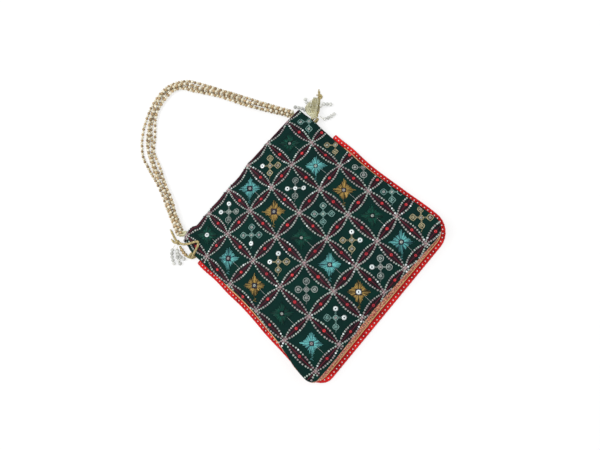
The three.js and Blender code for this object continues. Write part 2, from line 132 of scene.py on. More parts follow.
def makePiece(name, pile, finishNames, nodes=(), soft=True):
    mesh = bpy.data.meshes.new(name)
    mesh.from_pydata([tuple(p) for p in pile["points"]], [], pile["faces"])
    for finish in finishNames:
        mesh.materials.append(finishes[finish])
    mesh.polygons.foreach_set("material_index", pile["finishes"])
    tint = mesh.attributes.new("tint", "FLOAT", "POINT")
    tint.data.foreach_set("value", pile["tints"])
    if pile["places"]:
        layer = mesh.uv_layers.new(name="cloth")
        for loop in mesh.loops:
            layer.data[loop.index].uv = pile["places"][loop.vertex_index]
    if soft:
        mesh.shade_smooth()
    mesh.update()
    piece = addObject(name, mesh)
    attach(piece, "root")
    if nodes:
        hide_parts(*nodes)
    return piece


def thicken(piece, thickness, offset=-1):
    thick = piece.modifiers.new("thickness", "SOLIDIFY")
    thick.thickness = thickness
    thick.offset = offset


# Lines and tubes
def centripetal(points, perSpan=8):  # the smooth curve through chosen points
    points = [Vector(p) for p in points]
    made = []
    for i in range(len(points) - 1):
        b, c = points[i], points[i + 1]
        a = points[i - 1] if i else b * 2 - c
        d = points[i + 2] if i + 2 < len(points) else c * 2 - b
        k1, k2, k3 = (max((q - p).length ** 0.5, 1e-6) for p, q in ((a, b), (b, c), (c, d)))
        start = ((b - a) / k1 - (c - a) / (k1 + k2) + (c - b) / k2) * k2
        end = ((c - b) / k2 - (d - b) / (k2 + k3) + (d - c) / k3) * k2
        for j in range(perSpan):
            t = j / perSpan
            t2, t3 = t * t, t * t * t
            made.append(b * (2 * t3 - 3 * t2 + 1) + start * (t3 - 2 * t2 + t)
                        + c * (3 * t2 - 2 * t3) + end * (t3 - t2))
    made.append(points[-1])
    return made


def lengthsAlong(line):
    lengths = [0.0]
    for a, b in zip(line, line[1:]):
        lengths.append(lengths[-1] + (b - a).length)
    return lengths


def placeAt(line, lengths, length):  # the point and direction at a length along a line
    i = clamp(bisect_right(lengths, length) - 1, 0, len(line) - 2)
    span = max(lengths[i + 1] - lengths[i], 1e-9)
    direction = (line[i + 1] - line[i]).normalized()
    return line[i].lerp(line[i + 1], clamp((length - lengths[i]) / span, 0, 1)), direction


def evenly(line, step):  # points and directions every step along a line
    lengths = lengthsAlong(line)
    count = max(1, round(lengths[-1] / step))
    return [placeAt(line, lengths, lengths[-1] * i / count) for i in range(count + 1)]


def sideOf(direction, up=upward):
    side = direction.cross(up)
    return side.normalized() if side.length > 1e-6 else Vector((1, 0, 0))


def around(centre, side, lift, angle, wide, high=None):  # a point on a circle or an ellipse
    high = wide if high is None else high
    return centre + side * math.cos(angle) * wide + lift * math.sin(angle) * high


def ringOf(centre, side, lift, sides, radius):  # points all round a circle
    return [around(centre, side, lift, math.tau * k / sides, radius) for k in range(sides)]


def addTube(pile, line, radius, sides=6, finish=0, tint=0.5):
    points = []
    last = len(line) - 1
    for i, place in enumerate(line):
        direction = (line[min(i + 1, last)] - line[max(i - 1, 0)]).normalized()
        side = sideOf(direction)
        points += ringOf(place, side, side.cross(direction), sides, radius)
    addTo(pile, points, [tuple(reversed(f)) for f in capped(last + 1, sides)], finish, tint)


twist = {"stepsPerTurn": 9, "reach": 0.245, "plyRadius": 0.27}  # as shares of the cord's diameter


def addTwisted(pile, line, diameter, pitch, plies=3):  # a cord laid up from plies
    places = evenly(line, pitch / twist["stepsPerTurn"])
    for ply in range(plies):
        helix = []
        for i, (place, direction) in enumerate(places):
            side = sideOf(direction)
            angle = math.tau * (i / twist["stepsPerTurn"] + ply / plies)
            helix.append(around(place, side, side.cross(direction), angle, diameter * twist["reach"]))
        addTube(pile, helix, diameter * twist["plyRadius"], tint=0.3 + 0.2 * ply)


def addLathe(pile, centre, axis, profile, sides, finish, tint, core=None):  # core: the end's finish
    axis = axis.normalized()
    side = sideOf(axis, upward if abs(axis.z) < 0.9 else Vector((0, 1, 0)))
    lift = axis.cross(side)
    points = []
    for along, radius in profile:
        points += ringOf(centre + axis * along, side, lift, sides, radius)
    addTo(pile, points, capped(len(profile), sides), finish, tint)
    if core is not None:
        pile["finishes"][-1] = core


# Shader groups that several finishes share
def newGroup(name, inputs, outputs):
    group = bpy.data.node_groups.new(name, "ShaderNodeTree")
    for label, kind, value in inputs:
        socket = group.interface.new_socket(name=label, in_out="INPUT", socket_type=kind)
        socket.default_value = value
    for label, kind in outputs:
        group.interface.new_socket(name=label, in_out="OUTPUT", socket_type=kind)
    return group, group.nodes.new("NodeGroupInput"), group.nodes.new("NodeGroupOutput")


def node(tree, kind, settings=None, **values):
    made = tree.nodes.new(kind)
    for key, value in (settings or {}).items():
        setattr(made, key, value)
    for key, value in values.items():
        made.inputs[key.replace("_", " ")].default_value = value
    return made


def useGroup(tree, group, **values):
    return node(tree, "ShaderNodeGroup", {"node_tree": group}, **values)


def wire(tree, *pairs):
    for source, target in pairs:
        tree.links.new(source, target)


def math2(tree, operation, first, second=0):
    made = node(tree, "ShaderNodeMath", {"operation": operation})
    for socket, value in zip(made.inputs, (first, second)):
        if isinstance(value, (int, float)):
            socket.default_value = value
        else:
            tree.links.new(value, socket)
    return made.outputs[0]


def blendColours(tree, share, first, second):  # second is a plain colour or comes from a socket
    blend = node(tree, "ShaderNodeMix", {"data_type": "RGBA"})
    wire(tree, (share, blend.inputs[0]), (first, blend.inputs[6]))
    if isinstance(second, tuple):
        blend.inputs[7].default_value = second
    else:
        tree.links.new(second, blend.inputs[7])
    return blend.outputs[2]


floatKind, colorKind = "NodeSocketFloat", "NodeSocketColor"


def makeShadeGroup():  # a colour drifting between a dark and a light one, by piece and by patch
    group, given, out = newGroup("shadeDrift", [
        ("Dark", colorKind, (0, 0, 0, 1)), ("Light", colorKind, (1, 1, 1, 1)),
        ("Patch Scale", floatKind, 60.0), ("Patch Amount", floatKind, 0.4),
    ], [("Color", colorKind), ("Mask", floatKind)])
    where = node(group, "ShaderNodeTexCoord")
    noise = node(group, "ShaderNodeTexNoise", Detail=4.0, Roughness=0.6)
    wire(group, (where.outputs["Object"], noise.inputs["Vector"]),
         (given.outputs["Patch Scale"], noise.inputs["Scale"]))
    tint = node(group, "ShaderNodeAttribute", {"attribute_name": "tint"})
    drift = math2(group, "SUBTRACT", noise.outputs["Fac"], 0.5)
    drift = math2(group, "MULTIPLY", drift, given.outputs["Patch Amount"])
    mask = math2(group, "ADD", tint.outputs["Fac"], math2(group, "MULTIPLY", drift, 2.0))
    color = blendColours(group, mask, given.outputs["Dark"], given.outputs["Light"])
    wire(group, (color, out.inputs["Color"]), (mask, out.inputs["Mask"]))
    return group


def makeThreadGroup():  # fine fibres: height for a bump
    group, given, out = newGroup("threadFibres", [
        ("Fibre Scale", floatKind, 2500.0), ("Slub Scale", floatKind, 400.0),
    ], [("Height", floatKind)])
    where = node(group, "ShaderNodeTexCoord")
    fine = node(group, "ShaderNodeTexNoise", Detail=3.0, Roughness=0.7)
    coarse = node(group, "ShaderNodeTexNoise", Detail=2.0)
    wire(group, (where.outputs["Object"], fine.inputs["Vector"]),
         (where.outputs["Object"], coarse.inputs["Vector"]),
         (given.outputs["Fibre Scale"], fine.inputs["Scale"]),
         (given.outputs["Slub Scale"], coarse.inputs["Scale"]),
         (math2(group, "ADD", fine.outputs["Fac"], coarse.outputs["Fac"]), out.inputs["Height"]))
    return group


def makeWeaveGroup():  # warp and weft over the cloth's own places, in threads per metre
    group, given, out = newGroup("plainWeave", [
        ("Threads", floatKind, 1400.0), ("Slub", floatKind, 0.5),
    ], [("Height", floatKind), ("Mask", floatKind)])
    where = node(group, "ShaderNodeUVMap", {"uv_map": "cloth"})
    parts = node(group, "ShaderNodeSeparateXYZ")
    wire(group, (where.outputs["UV"], parts.inputs[0]))
    rate = math2(group, "MULTIPLY", given.outputs["Threads"], math.pi)
    across = math2(group, "SINE", math2(group, "MULTIPLY", parts.outputs["X"], rate))
    along = math2(group, "SINE", math2(group, "MULTIPLY", parts.outputs["Y"], rate))
    over = math2(group, "MULTIPLY", across, along)
    noise = node(group, "ShaderNodeTexNoise", Scale=900.0, Detail=3.0)
    wire(group, (where.outputs["UV"], noise.inputs["Vector"]))
    slub = math2(group, "MULTIPLY", noise.outputs["Fac"], given.outputs["Slub"])
    height = math2(group, "ADD", math2(group, "MULTIPLY", over, 0.5), slub)
    wire(group, (height, out.inputs["Height"]), (over, out.inputs["Mask"]))
    return group


shadeDrift = makeShadeGroup()
threadFibres = makeThreadGroup()
plainWeave = makeWeaveGroup()


def newFinish(name, **values):
    finish = bpy.data.materials.new(name)
    finish.use_nodes = True
    tree = finish.node_tree
    tree.nodes.clear()
    surface = node(tree, "ShaderNodeOutputMaterial")
    shader = node(tree, "ShaderNodeBsdfPrincipled", **values)
    wire(tree, (shader.outputs[0], surface.inputs["Surface"]))
    return finish, tree, shader


def addShade(tree, dark, light, patchScale, patchAmount):
    return useGroup(tree, shadeDrift, Dark=paint(*dark), Light=paint(*light),
                    Patch_Scale=patchScale, Patch_Amount=patchAmount)


def addBump(tree, shader, height, strength, distance):
    bump = node(tree, "ShaderNodeBump", Strength=strength, Distance=distance)
    wire(tree, (height, bump.inputs["Height"]), (bump.outputs["Normal"], shader.inputs["Normal"]))


def roughFrom(tree, shader, mask, low, high):  # roughness that follows a mask
    span = node(tree, "ShaderNodeMapRange", To_Min=low, To_Max=high)
    wire(tree, (mask, span.inputs["Value"]), (span.outputs["Result"], shader.inputs["Roughness"]))


def threadFinish(name, dark, light, rough, sheen, metal=0.0):
    finish, tree, shader = newFinish(name, Specular_IOR_Level=0.2, Sheen_Weight=sheen, Metallic=metal)
    shade = addShade(tree, dark, light, 700.0, 0.5)
    wire(tree, (shade.outputs["Color"], shader.inputs["Base Color"]))
    fibres = useGroup(tree, threadFibres, Fibre_Scale=2600.0, Slub_Scale=900.0)
    addBump(tree, shader, fibres.outputs["Height"], 0.6, 0.0002)
    roughFrom(tree, shader, shade.outputs["Mask"], rough + 0.1, rough - 0.1)
    return finish


def sequinFinish(name, dark, light, rough, metal, coat=0.3):
    finish, tree, shader = newFinish(name, Metallic=metal, Coat_Weight=coat, Coat_Roughness=0.12)
    shade = addShade(tree, dark, light, 900.0, 0.35)
    wire(tree, (shade.outputs["Color"], shader.inputs["Base Color"]))
    fibres = useGroup(tree, threadFibres, Fibre_Scale=900.0, Slub_Scale=500.0)
    addBump(tree, shader, fibres.outputs["Height"], 0.25, 0.0002)
    roughFrom(tree, shader, shade.outputs["Mask"], rough + 0.12, rough - 0.08)
    return finish


def makeGreenCloth():
    finish, tree, shader = newFinish("greenCloth", Specular_IOR_Level=0.06, Sheen_Weight=0.03)
    shade = addShade(tree, (4, 23, 26), (8, 44, 37), 45.0, 0.9)
    weave = useGroup(tree, plainWeave, Threads=1100.0, Slub=1.2)
    raised = math2(tree, "MULTIPLY", weave.outputs["Height"], 0.16)
    color = blendColours(tree, raised, shade.outputs["Color"], paint(22, 68, 58))
    wire(tree, (color, shader.inputs["Base Color"]))
    addBump(tree, shader, weave.outputs["Height"], 0.5, 0.00025)
    roughFrom(tree, shader, shade.outputs["Mask"], 0.72, 0.88)
    return finish


def makeBrocade():  # gold ground with red and olive sprigs woven along the band, and pale spots of painted glints, highlights of the metal thread
    finish, tree, shader = newFinish("brocadeWeave", Metallic=0.15, Sheen_Weight=0.2)
    where = node(tree, "ShaderNodeUVMap", {"uv_map": "cloth"})
    shift = node(tree, "ShaderNodeMapping", Location=(0.13, 0.27, 0.0), Scale=(1.0, 0.7, 1.0))
    wire(tree, (where.outputs["UV"], shift.inputs["Vector"]))
    previous = addShade(tree, (150, 66, 36), (222, 142, 84), 500.0, 0.8).outputs["Color"]
    masks = []
    flat = {"voronoi_dimensions": "2D"}
    # the last row's pale spots are painted highlights: glints of the metal thread put into the colour
    for source, scale, uneven, reach, color in (
            (where.outputs["UV"], 330.0, 0.7, 0.42, (182, 24, 26)),
            (shift.outputs["Vector"], 310.0, 0.9, 0.25, (66, 58, 26)),
            (shift.outputs["Vector"], 430.0, 1.0, 0.22, (250, 212, 154))):
        cells = node(tree, "ShaderNodeTexVoronoi", flat, Scale=scale, Randomness=uneven)
        spot = node(tree, "ShaderNodeMapRange", From_Min=reach + 0.06, From_Max=reach - 0.06)
        wire(tree, (source, cells.inputs["Vector"]), (cells.outputs["Distance"], spot.inputs["Value"]))
        previous = blendColours(tree, spot.outputs["Result"], previous, paint(*color))
        masks.append(spot.outputs["Result"])
    wire(tree, (previous, shader.inputs["Base Color"]))
    weave = useGroup(tree, plainWeave, Threads=1800.0, Slub=0.6)
    raised = math2(tree, "ADD", weave.outputs["Height"], math2(tree, "MULTIPLY", masks[0], 1.2))
    addBump(tree, shader, raised, 0.6, 0.0003)
    roughFrom(tree, shader, masks[0], 0.42, 0.7)
    return finish


def makeSatin():
    finish, tree, shader = newFinish("liningSatin", Sheen_Weight=0.3)
    shade = addShade(tree, (60, 16, 30), (104, 32, 48), 30.0, 0.8)
    weave = useGroup(tree, plainWeave, Threads=2200.0, Slub=0.8)
    wire(tree, (shade.outputs["Color"], shader.inputs["Base Color"]))
    addBump(tree, shader, weave.outputs["Height"], 0.2, 0.0001)
    roughFrom(tree, shader, shade.outputs["Mask"], 0.36, 0.46)
    return finish


def makeCrystal():
    finish, tree, shader = newFinish("clearCrystal", Transmission_Weight=0.15, IOR=1.5)
    shade = addShade(tree, (186, 187, 182), (226, 227, 222), 400.0, 0.5)
    wire(tree, (shade.outputs["Color"], shader.inputs["Base Color"]))
    roughFrom(tree, shader, shade.outputs["Mask"], 0.12, 0.04)
    return finish


threadRows = {  # dark and light end of the colour, roughness, sheen and metal
    "maroon": ("petalSatinStitch", (15, 9, 16), (44, 16, 28), 0.55, 0.02),
    "rose": ("roseChainStitch", (66, 16, 32), (116, 32, 52), 0.6, 0.03),
    "blush": ("blushKnotThread", (128, 96, 102), (200, 172, 174), 0.6, 0.03),
    "outline": ("greyOutlineThread", (66, 60, 60), (114, 106, 102), 0.6, 0.03),
    "teal": ("tealSilkThread", (4, 52, 62), (120, 208, 206), 0.42, 0.05),
    "gold": ("goldSilkThread", (46, 38, 14), (204, 168, 92), 0.42, 0.05),
    "forest": ("forestSilkThread", (3, 34, 32), (8, 88, 70), 0.5, 0.02),
    "silverThread": ("silverThread", (84, 96, 96), (172, 184, 178), 0.4, 0.05, 0.2),
    "tealSilverThread": ("tealSilverThread", (60, 102, 100), (146, 186, 178), 0.4, 0.05, 0.2),
    "goldThread": ("paleGoldThread", (108, 102, 80), (196, 186, 148), 0.4, 0.05, 0.2),
    # the next row: the stars' dark centre thread, and painted shade in the holes of large sequins
    "shadow": ("darkCentreThreadAndHoleShade", (14, 18, 34), (40, 34, 52), 0.6, 0.2),
    "braid": ("goldBraid", (206, 160, 104), (250, 222, 168), 0.4, 0.1, 0.1),
    "lace": ("redLaceThread", (160, 8, 16), (232, 36, 34), 0.6, 0.03),
    "cord": ("goldTwistedCord", (128, 112, 66), (206, 190, 140), 0.45, 0.1, 0.1),
    "fringe": ("goldFringeThread", (152, 144, 96), (230, 228, 200), 0.45, 0.1, 0.1),
}
sequinRows = {  # dark and light end of the colour, roughness, metal and coat
    "silverSequin": ("silverSequin", (136, 122, 126), (162, 180, 170), 0.36, 0.2),
    "whiteSequin": ("whiteSequin", (200, 210, 210), (232, 238, 238), 0.25, 0.1, 0.5),
    "redSequin": ("redSequin", (158, 8, 36), (214, 34, 40), 0.32, 0.2, 0.35),
    "goldBead": ("antiqueGoldBead", (136, 110, 72), (188, 160, 116), 0.38, 0.1),
    "pearl": ("creamPearl", (198, 188, 156), (230, 224, 204), 0.28, 0.0, 0.5),
}
finishes = {
    "green": makeGreenCloth(), "brocade": makeBrocade(), "satin": makeSatin(), "crystal": makeCrystal(),
    **{key: threadFinish(*row) for key, row in threadRows.items()},
    **{key: sequinFinish(*row) for key, row in sequinRows.items()},
}
print("finishes made")


# Handle: five strings of beads, each on its own thread
handle = {
    "beadDiameter": 0.0035,
    "beadPitch": 0.00325,
    "beadWander": 0.00018,
    "pearlLength": 0.95,  # of its diameter
    "goldLength": 0.86,
    "threadRadius": 0.0003,
    "strandDiameter": 0.003,
    "strandSpacing": 0.0033,
    "tableGap": 0.0003,
    "gatherLift": 0.0024,
    "looseStation": 7.8,
    "looseReach": 1.7,
}
handleRoute = [
    (-0.0915, 0.1105), (-0.0878, 0.12), (-0.0826, 0.132), (-0.077, 0.146), (-0.0714, 0.159),
    (-0.066, 0.173), (-0.0605, 0.188), (-0.054, 0.202), (-0.045, 0.213), (-0.034, 0.2235),
    (-0.021, 0.232), (-0.006, 0.2385), (0.009, 0.2408), (0.021, 0.2368), (0.031, 0.2275),
    (0.038, 0.215), (0.0478, 0.1946), (0.0574, 0.1729), (0.0663, 0.1511), (0.0756, 0.131),
    (0.082, 0.1175), (0.0846, 0.1116),
]
strandLanes = [  # in strand spacings right of the middle line, and the lane that each rides on
    {"end": -1, "middle": -1.4, "loose": -1.5, "turns": 5, "sway": 0.0006},
    {"end": 0, "middle": -0.5, "loose": -0.1, "turns": 8, "sway": 0.0008},
    {"end": 1, "middle": 0.5, "loose": 0.2, "turns": 6, "sway": 0.0008},
    {"end": 0.5, "middle": 1.4, "loose": 0.45, "turns": 7, "sway": 0.0009, "ridesOn": 2},
    {"end": -0.5, "middle": 0, "loose": 0.1, "turns": 9, "sway": 0.0009, "ridesOn": 1},
]


def laneAt(lane, i):
    last = len(handleRoute) - 1
    bundled = smooth(i, 0, 4) * (1 - smooth(i, last - 5, last))
    loosened = math.exp(-(((i - handle["looseStation"]) / handle["looseReach"]) ** 2))
    return (mix(lane["end"], lane["middle"], bundled) + lane["loose"] * loosened) * handle["strandSpacing"]


def strandPoints(lane):
    last = len(handleRoute) - 1
    spacing = handle["strandSpacing"]
    made = []
    for i, (x, y) in enumerate(handleRoute):
        before, after = handleRoute[max(i - 1, 0)], handleRoute[min(i + 1, last)]
        direction = Vector((after[0] - before[0], after[1] - before[1])).normalized()
        sideways = laneAt(lane, i)
        under = spacing
        if "ridesOn" in lane:
            under = sideways - laneAt(strandLanes[lane["ridesOn"]], i)
        rise = math.sqrt(max(0.0, spacing ** 2 - under ** 2))
        lift = handle["gatherLift"] * (1 - smooth(i, 0, 3) * (1 - smooth(i, last - 3, last)))
        z = handle["strandDiameter"] / 2 + handle["tableGap"] + rise + lift
        made.append((x + direction.y * sideways, y - direction.x * sideways, z))
    return made


def addBead(pile, centre, axis, diameter, finish, squash, sides=10):
    angles = [math.pi * (0.1 + 0.8 * i / 6) for i in range(7)]
    profile = [(-math.cos(a) * diameter / 2 * squash, math.sin(a) * diameter / 2) for a in angles]
    addLathe(pile, centre, axis, profile, sides, finish, chance.random())


def makeHandle():
    for number, lane in enumerate(strandLanes, 1):
        line = centripetal(strandPoints(lane), 10)
        last = len(line) - 1
        for i, place in enumerate(line):  # each string wanders a little in the bundle
            share = i / last
            sway = math.sin(math.tau * lane["turns"] * share + number * 2.1)
            sway *= math.sin(math.pi * share) ** 0.5
            place += sideOf(line[min(i + 1, last)] - line[max(i - 1, 0)]) * sway * lane["sway"]
        pile = newPile()
        addTube(pile, [p for p, d in evenly(line, 0.003)], handle["threadRadius"], 5, 2)
        for i, (place, direction) in enumerate(evenly(line, handle["beadPitch"])):
            wander = Vector((chance.uniform(-1, 1), chance.uniform(-1, 1), 0)) * handle["beadWander"]
            pearl = (i + number) % 2
            size = handle["beadDiameter"] * chance.uniform(0.93, 1.03)
            squash = handle["pearlLength"] if pearl else handle["goldLength"]
            addBead(pile, place + wander, direction, size, pearl, squash)
        strand = makePiece(f"handleString.{number}", pile, ["goldBead", "pearl", "fringe"],
                           [f"handle_strand_{number}"])


# Drawstrings and what is tied to them
cords = {
    "diameter": 0.0018,
    "laidDiameter": 0.0026,  # the cord's loose plies stand out a little
    "twistPitch": 0.0042,
    "leftY": 0.083,
    "rightY": 0.0874,
    "turnReach": 0.0034,
    "turnBulge": 0.0021,
    "knotSize": 0.0023,
    "knotCord": 0.0017,
    "frayThreads": 14,
    "frayReach": 0.0026,
    "frayRadius": 0.00016,
    "beadsAt": (0.53, 0.67, 0.81),  # shares of the left cord's outer leg
    "beadProfile": [(-0.0012, 0.00115), (-0.0013, 0.0014), (-0.0011, 0.0017), (-0.0005, 0.002),
                    (0.0005, 0.002), (0.0011, 0.0017), (0.0013, 0.0014), (0.0012, 0.00115)],
}
leftFrontLeg = [
    (-0.0987, 0.1024, 0.007), (-0.0964, 0.0976, 0.0102), (-0.0915, 0.0928, 0.0121),
    (-0.0862, 0.0896, 0.0128), (-0.0829, 0.0868, 0.013), (-0.0852, 0.084, 0.0128),
    (-0.0895, 0.0826, 0.0123), (-0.094, 0.0816, 0.0116), (-0.0976, 0.0808, 0.0106),
    (-0.0994, 0.0804, 0.0089), (-0.0976, 0.0805, 0.0075),
]
leftBackLeg = [
    (-0.0974, 0.0806, 0.0028), (-0.101, 0.082, 0.0023), (-0.1036, 0.0865, 0.0022),
    (-0.104, 0.0915, 0.0022), (-0.1032, 0.0968, 0.0024), (-0.1016, 0.1012, 0.0034),
]
rightFrontLeg = [(0.0979, 0.0906, 0.007)]
rightBackLeg = [(0.0977, 0.0904, 0.0036)]
leftKnotAt = Vector((-0.1004, 0.1052, 0.0044))
rightKnotAt = Vector((0.1018, 0.0906, 0.0052))
leftTails = [
    [(-0.1004, 0.1052, 0.0034), (-0.1006, 0.11, 0.0016), (-0.0994, 0.115, 0.0012), (-0.0974, 0.1212, 0.0012)],
    [(-0.1014, 0.106, 0.0034), (-0.1036, 0.1095, 0.0016), (-0.1036, 0.1128, 0.0012)],
]
rightTails = [
    [(0.103, 0.0902, 0.0048), (0.1066, 0.0922, 0.003), (0.1118, 0.0964, 0.0018), (0.1164, 0.1006, 0.0014),
     (0.1204, 0.1044, 0.0012), (0.1236, 0.1078, 0.0012)],
    [(0.1172, 0.1034, 0.0024), (0.1184, 0.1014, 0.0014), (0.1206, 0.101, 0.0014), (0.1214, 0.103, 0.0016),
     (0.1196, 0.1046, 0.0028)],
]

# Cloth body: outline and heights, the same as the frame's but for the lower left corner
bag = {
    "width": 0.188,
    "mouthY": 0.1045,
    "frontBottomY": -0.095,
    "backBottomY": -0.0985,
    "waistTuck": 0.0025,
    "bottomFlare": 0.004,
    "cornerRadius": 0.017,
    "slumpedRadius": 0.009,
    "slump": 0.0025,  # how far the front's lower left corner has slid down
    "slumpAside": 1.6,  # and aside, as a share of that
    "spread": 0.0022,  # the front's bottom is pulled up, and its right side out
    "frontSlope": 0.028,
    "backExtraSlope": 0.037,
    "cloth": 0.0008,
    "clearance": 0.0003,
    "puffHeight": 0.024,
    "mouthHeight": 0.014,
    "sideSeamZ": 0.0052,
    "gussetTopZ": 0.016,
    "backSeamZ": 0.0026,
    "hemEndY": 0.074,
    "channelLowY": 0.0785,
    "channelHighY": 0.0915,
    "leftTrimStartY": 0.076,
    "rightTrimStartY": 0.056,
    "gussetRise": 0.03,
    "sideBelly": 0.0002,
    "cornerBelly": 0.002,
    "backOverhang": 0.003,
}
channelHeight = cords["diameter"] + 2 * bag["clearance"]


def through(stations):  # a smooth value along the bag, through stations of y and value
    def value(y):
        y = clamp(y, stations[0][0], stations[-1][0])
        i = 0
        while i < len(stations) - 2 and y > stations[i + 1][0]:
            i += 1
        t = (y - stations[i][0]) / (stations[i + 1][0] - stations[i][0])
        p1, p2 = stations[i][1], stations[i + 1][1]
        p0 = stations[max(i - 1, 0)][1]
        p3 = stations[min(i + 2, len(stations) - 1)][1]
        v0, v1 = (p2 - p0) / 2, (p3 - p1) / 2
        return ((2 * p1 - 2 * p2 + v0 + v1) * t ** 3 + (-3 * p1 + 3 * p2 - 2 * v0 - v1) * t * t
                + v0 * t + p1)
    return value


halfWidth = through([
    (bag["backBottomY"] - 0.001, bag["width"] / 2 + bag["bottomFlare"]),
    (bag["frontBottomY"] + 0.02, bag["width"] / 2 + bag["bottomFlare"]),
    (-0.042, bag["width"] / 2 + bag["bottomFlare"] / 4),
    (0.008, bag["width"] / 2 - bag["waistTuck"]),
    (0.06, bag["width"] / 2),
    (bag["mouthY"], bag["width"] / 2 - 0.0005),
])
frontMiddleZ = through([
    (bag["frontBottomY"], bag["gussetTopZ"] + bag["cloth"]),
    (-0.082, bag["puffHeight"] - 0.003),
    (-0.04, bag["puffHeight"]),
    (0.02, bag["puffHeight"] - 0.002),
    (0.06, bag["mouthHeight"] + 0.003),
    (0.086, bag["mouthHeight"]),
    (bag["mouthY"], bag["mouthHeight"] - 0.001),
])


def opened(y, side):  # how far the gusset has opened, from its pointed end down
    start = bag["leftTrimStartY"] if side < 0 else bag["rightTrimStartY"]
    return 1 - smooth(y, start - bag["gussetRise"], start)


def hemDepth(y):
    channel = smooth(y, bag["hemEndY"], bag["channelLowY"])
    channel *= 1 - smooth(y, bag["channelHighY"], bag["channelHighY"] + 0.003)
    return mix(2 * bag["cloth"], 2 * bag["cloth"] + channelHeight, channel)


def layersDepth(y):
    share = smooth(y, bag["hemEndY"] - 0.004, bag["hemEndY"])
    return mix(bag["cloth"], hemDepth(y), share)


def frontEdgeZ(y, side):
    closed = bag["sideSeamZ"] + bag["clearance"] / 2 + layersDepth(y)
    return mix(closed, bag["gussetTopZ"] + bag["cloth"], opened(y, side))


def backEdgeZ(y, side):
    closed = bag["sideSeamZ"] - bag["clearance"] / 2 - layersDepth(y)
    return mix(closed, bag["backSeamZ"] - bag["cloth"], opened(y, side))


def cornerOf(panel, way):  # the front's lower corners have slumped over, and look sharper
    if not panel["slumps"]:
        return bag["cornerRadius"]
    return bag["slumpedRadius"] if way < 0 else bag["cornerRadius"] * 0.8


def cornerCut(panel, way, y):
    radius = cornerOf(panel, way)
    below = clamp(panel["bottomY"] + radius - y, 0, radius)
    return radius - math.sqrt(radius ** 2 - below ** 2)


def frontZ(u, y):
    crown = 1 - abs(u) ** 2.6
    return mix(frontEdgeZ(y, -1 if u < 0 else 1), frontMiddleZ(y), crown)


def backZ(u, y):
    beside = smooth(abs(u), 0.86, 1)
    below = 1 - smooth(y, bag["backBottomY"], bag["backBottomY"] + 0.014)
    return max(beside, below) * backEdgeZ(y, -1 if u < 0 else 1)


front = {
    "bottomY": bag["frontBottomY"], "inward": -1, "z": frontZ, "width": halfWidth, "slumps": True,
    "slope": lambda y: bag["frontSlope"],
}
back = {
    "bottomY": bag["backBottomY"], "inward": 1, "z": backZ, "slumps": False,
    "width": lambda y: halfWidth(y) + bag["backOverhang"] * opened(y, 1),
    "slope": lambda y: bag["frontSlope"] + bag["backExtraSlope"] * smooth(-y, -0.06, -bag["backBottomY"]),
}


def planPoint(panel, x, y, z):
    place = Vector((x, y + panel["slope"](y) * x, z))
    if panel["slumps"]:
        left = smooth(-x, 0.02, 0.08) * smooth(-y, 0.035, 0.082)
        mouth = smooth(-x, 0.065, 0.095) * smooth(y, 0.045, 0.076) * (1 - 0.6 * smooth(y, 0.088, 0.104))
        right = smooth(x, 0.05, 0.095) * smooth(-y, -0.04, 0.06)
        bottom = smooth(-y, 0.07, 0.095) * smooth(x, -0.05, 0.0)
        place += Vector((-bag["slumpAside"], -1, 0)) * bag["slump"] * left
        place += Vector((right - mouth, bottom, 0)) * bag["spread"]
    return place


def panelPoint(panel, u, y, depth):
    x = u * (panel["width"](y) - cornerCut(panel, u, y))
    return planPoint(panel, x, y, panel["z"](u, y) + panel["inward"] * depth)


def channelRun(panel, cordY, fromSide):
    stations = [-1, -0.97, -0.9, -0.75, -0.5, -0.25, 0, 0.25, 0.5, 0.75, 0.9, 0.97, 1]
    depth = bag["cloth"] + channelHeight / 2
    run = [panelPoint(panel, u, cordY, depth) for u in stations]
    return run if fromSide < 0 else run[::-1]


def drawstringPoints(cordY, side, frontLeg, backLeg):
    over = channelRun(front, cordY, side)
    under = channelRun(back, cordY, -side)
    top, low = over[-1], under[0]
    reach = cords["turnReach"]
    turned = [
        (top.x - side * reach, top.y, top.z),
        (top.x - side * (reach + cords["turnBulge"]), top.y, (top.z + low.z) / 2),
        (low.x - side * reach, low.y, low.z),
    ]
    return [*frontLeg, *over, *turned, *under, *backLeg]


def addTrefoil(pile, centre, lean):  # a cord tied on itself
    knot = []
    for i in range(61):
        t = math.tau * i / 60
        loop = Vector((math.sin(t) + 2 * math.sin(2 * t), math.cos(t) - 2 * math.cos(2 * t),
                       -1.3 * math.sin(3 * t))) * cords["knotSize"] / 3
        loop.rotate(Matrix.Rotation(lean, 3, "Y"))
        knot.append(centre + loop)
    addTwisted(pile, knot, cords["knotCord"], cords["twistPitch"])


def addFrayedEnd(pile, place, direction):  # the cut end of a cord, its threads apart
    side = sideOf(direction)
    for _ in range(cords["frayThreads"]):
        lean = chance.uniform(-0.5, 0.5)
        rise = chance.uniform(0.0, 0.22)
        way = (direction + side * lean + upward * rise).normalized()
        tip = place + way * cords["frayReach"] * chance.uniform(0.6, 1)
        tip.z = max(tip.z, 0.0004)
        thread = [place, place.lerp(tip, 0.5) + side * lean * 0.0003, tip]
        addTube(pile, thread, cords["frayRadius"], 4, tint=chance.random())


def makeKnot(name, centre, tails, node, lean):
    pile = newPile()
    addTrefoil(pile, centre, lean)
    for tail in tails:
        line = centripetal(tail, 6)
        addTwisted(pile, line, cords["laidDiameter"], cords["twistPitch"])
        addFrayedEnd(pile, line[-1], (line[-1] - line[-2]).normalized())
    return makePiece(name, pile, ["cord"], [node])


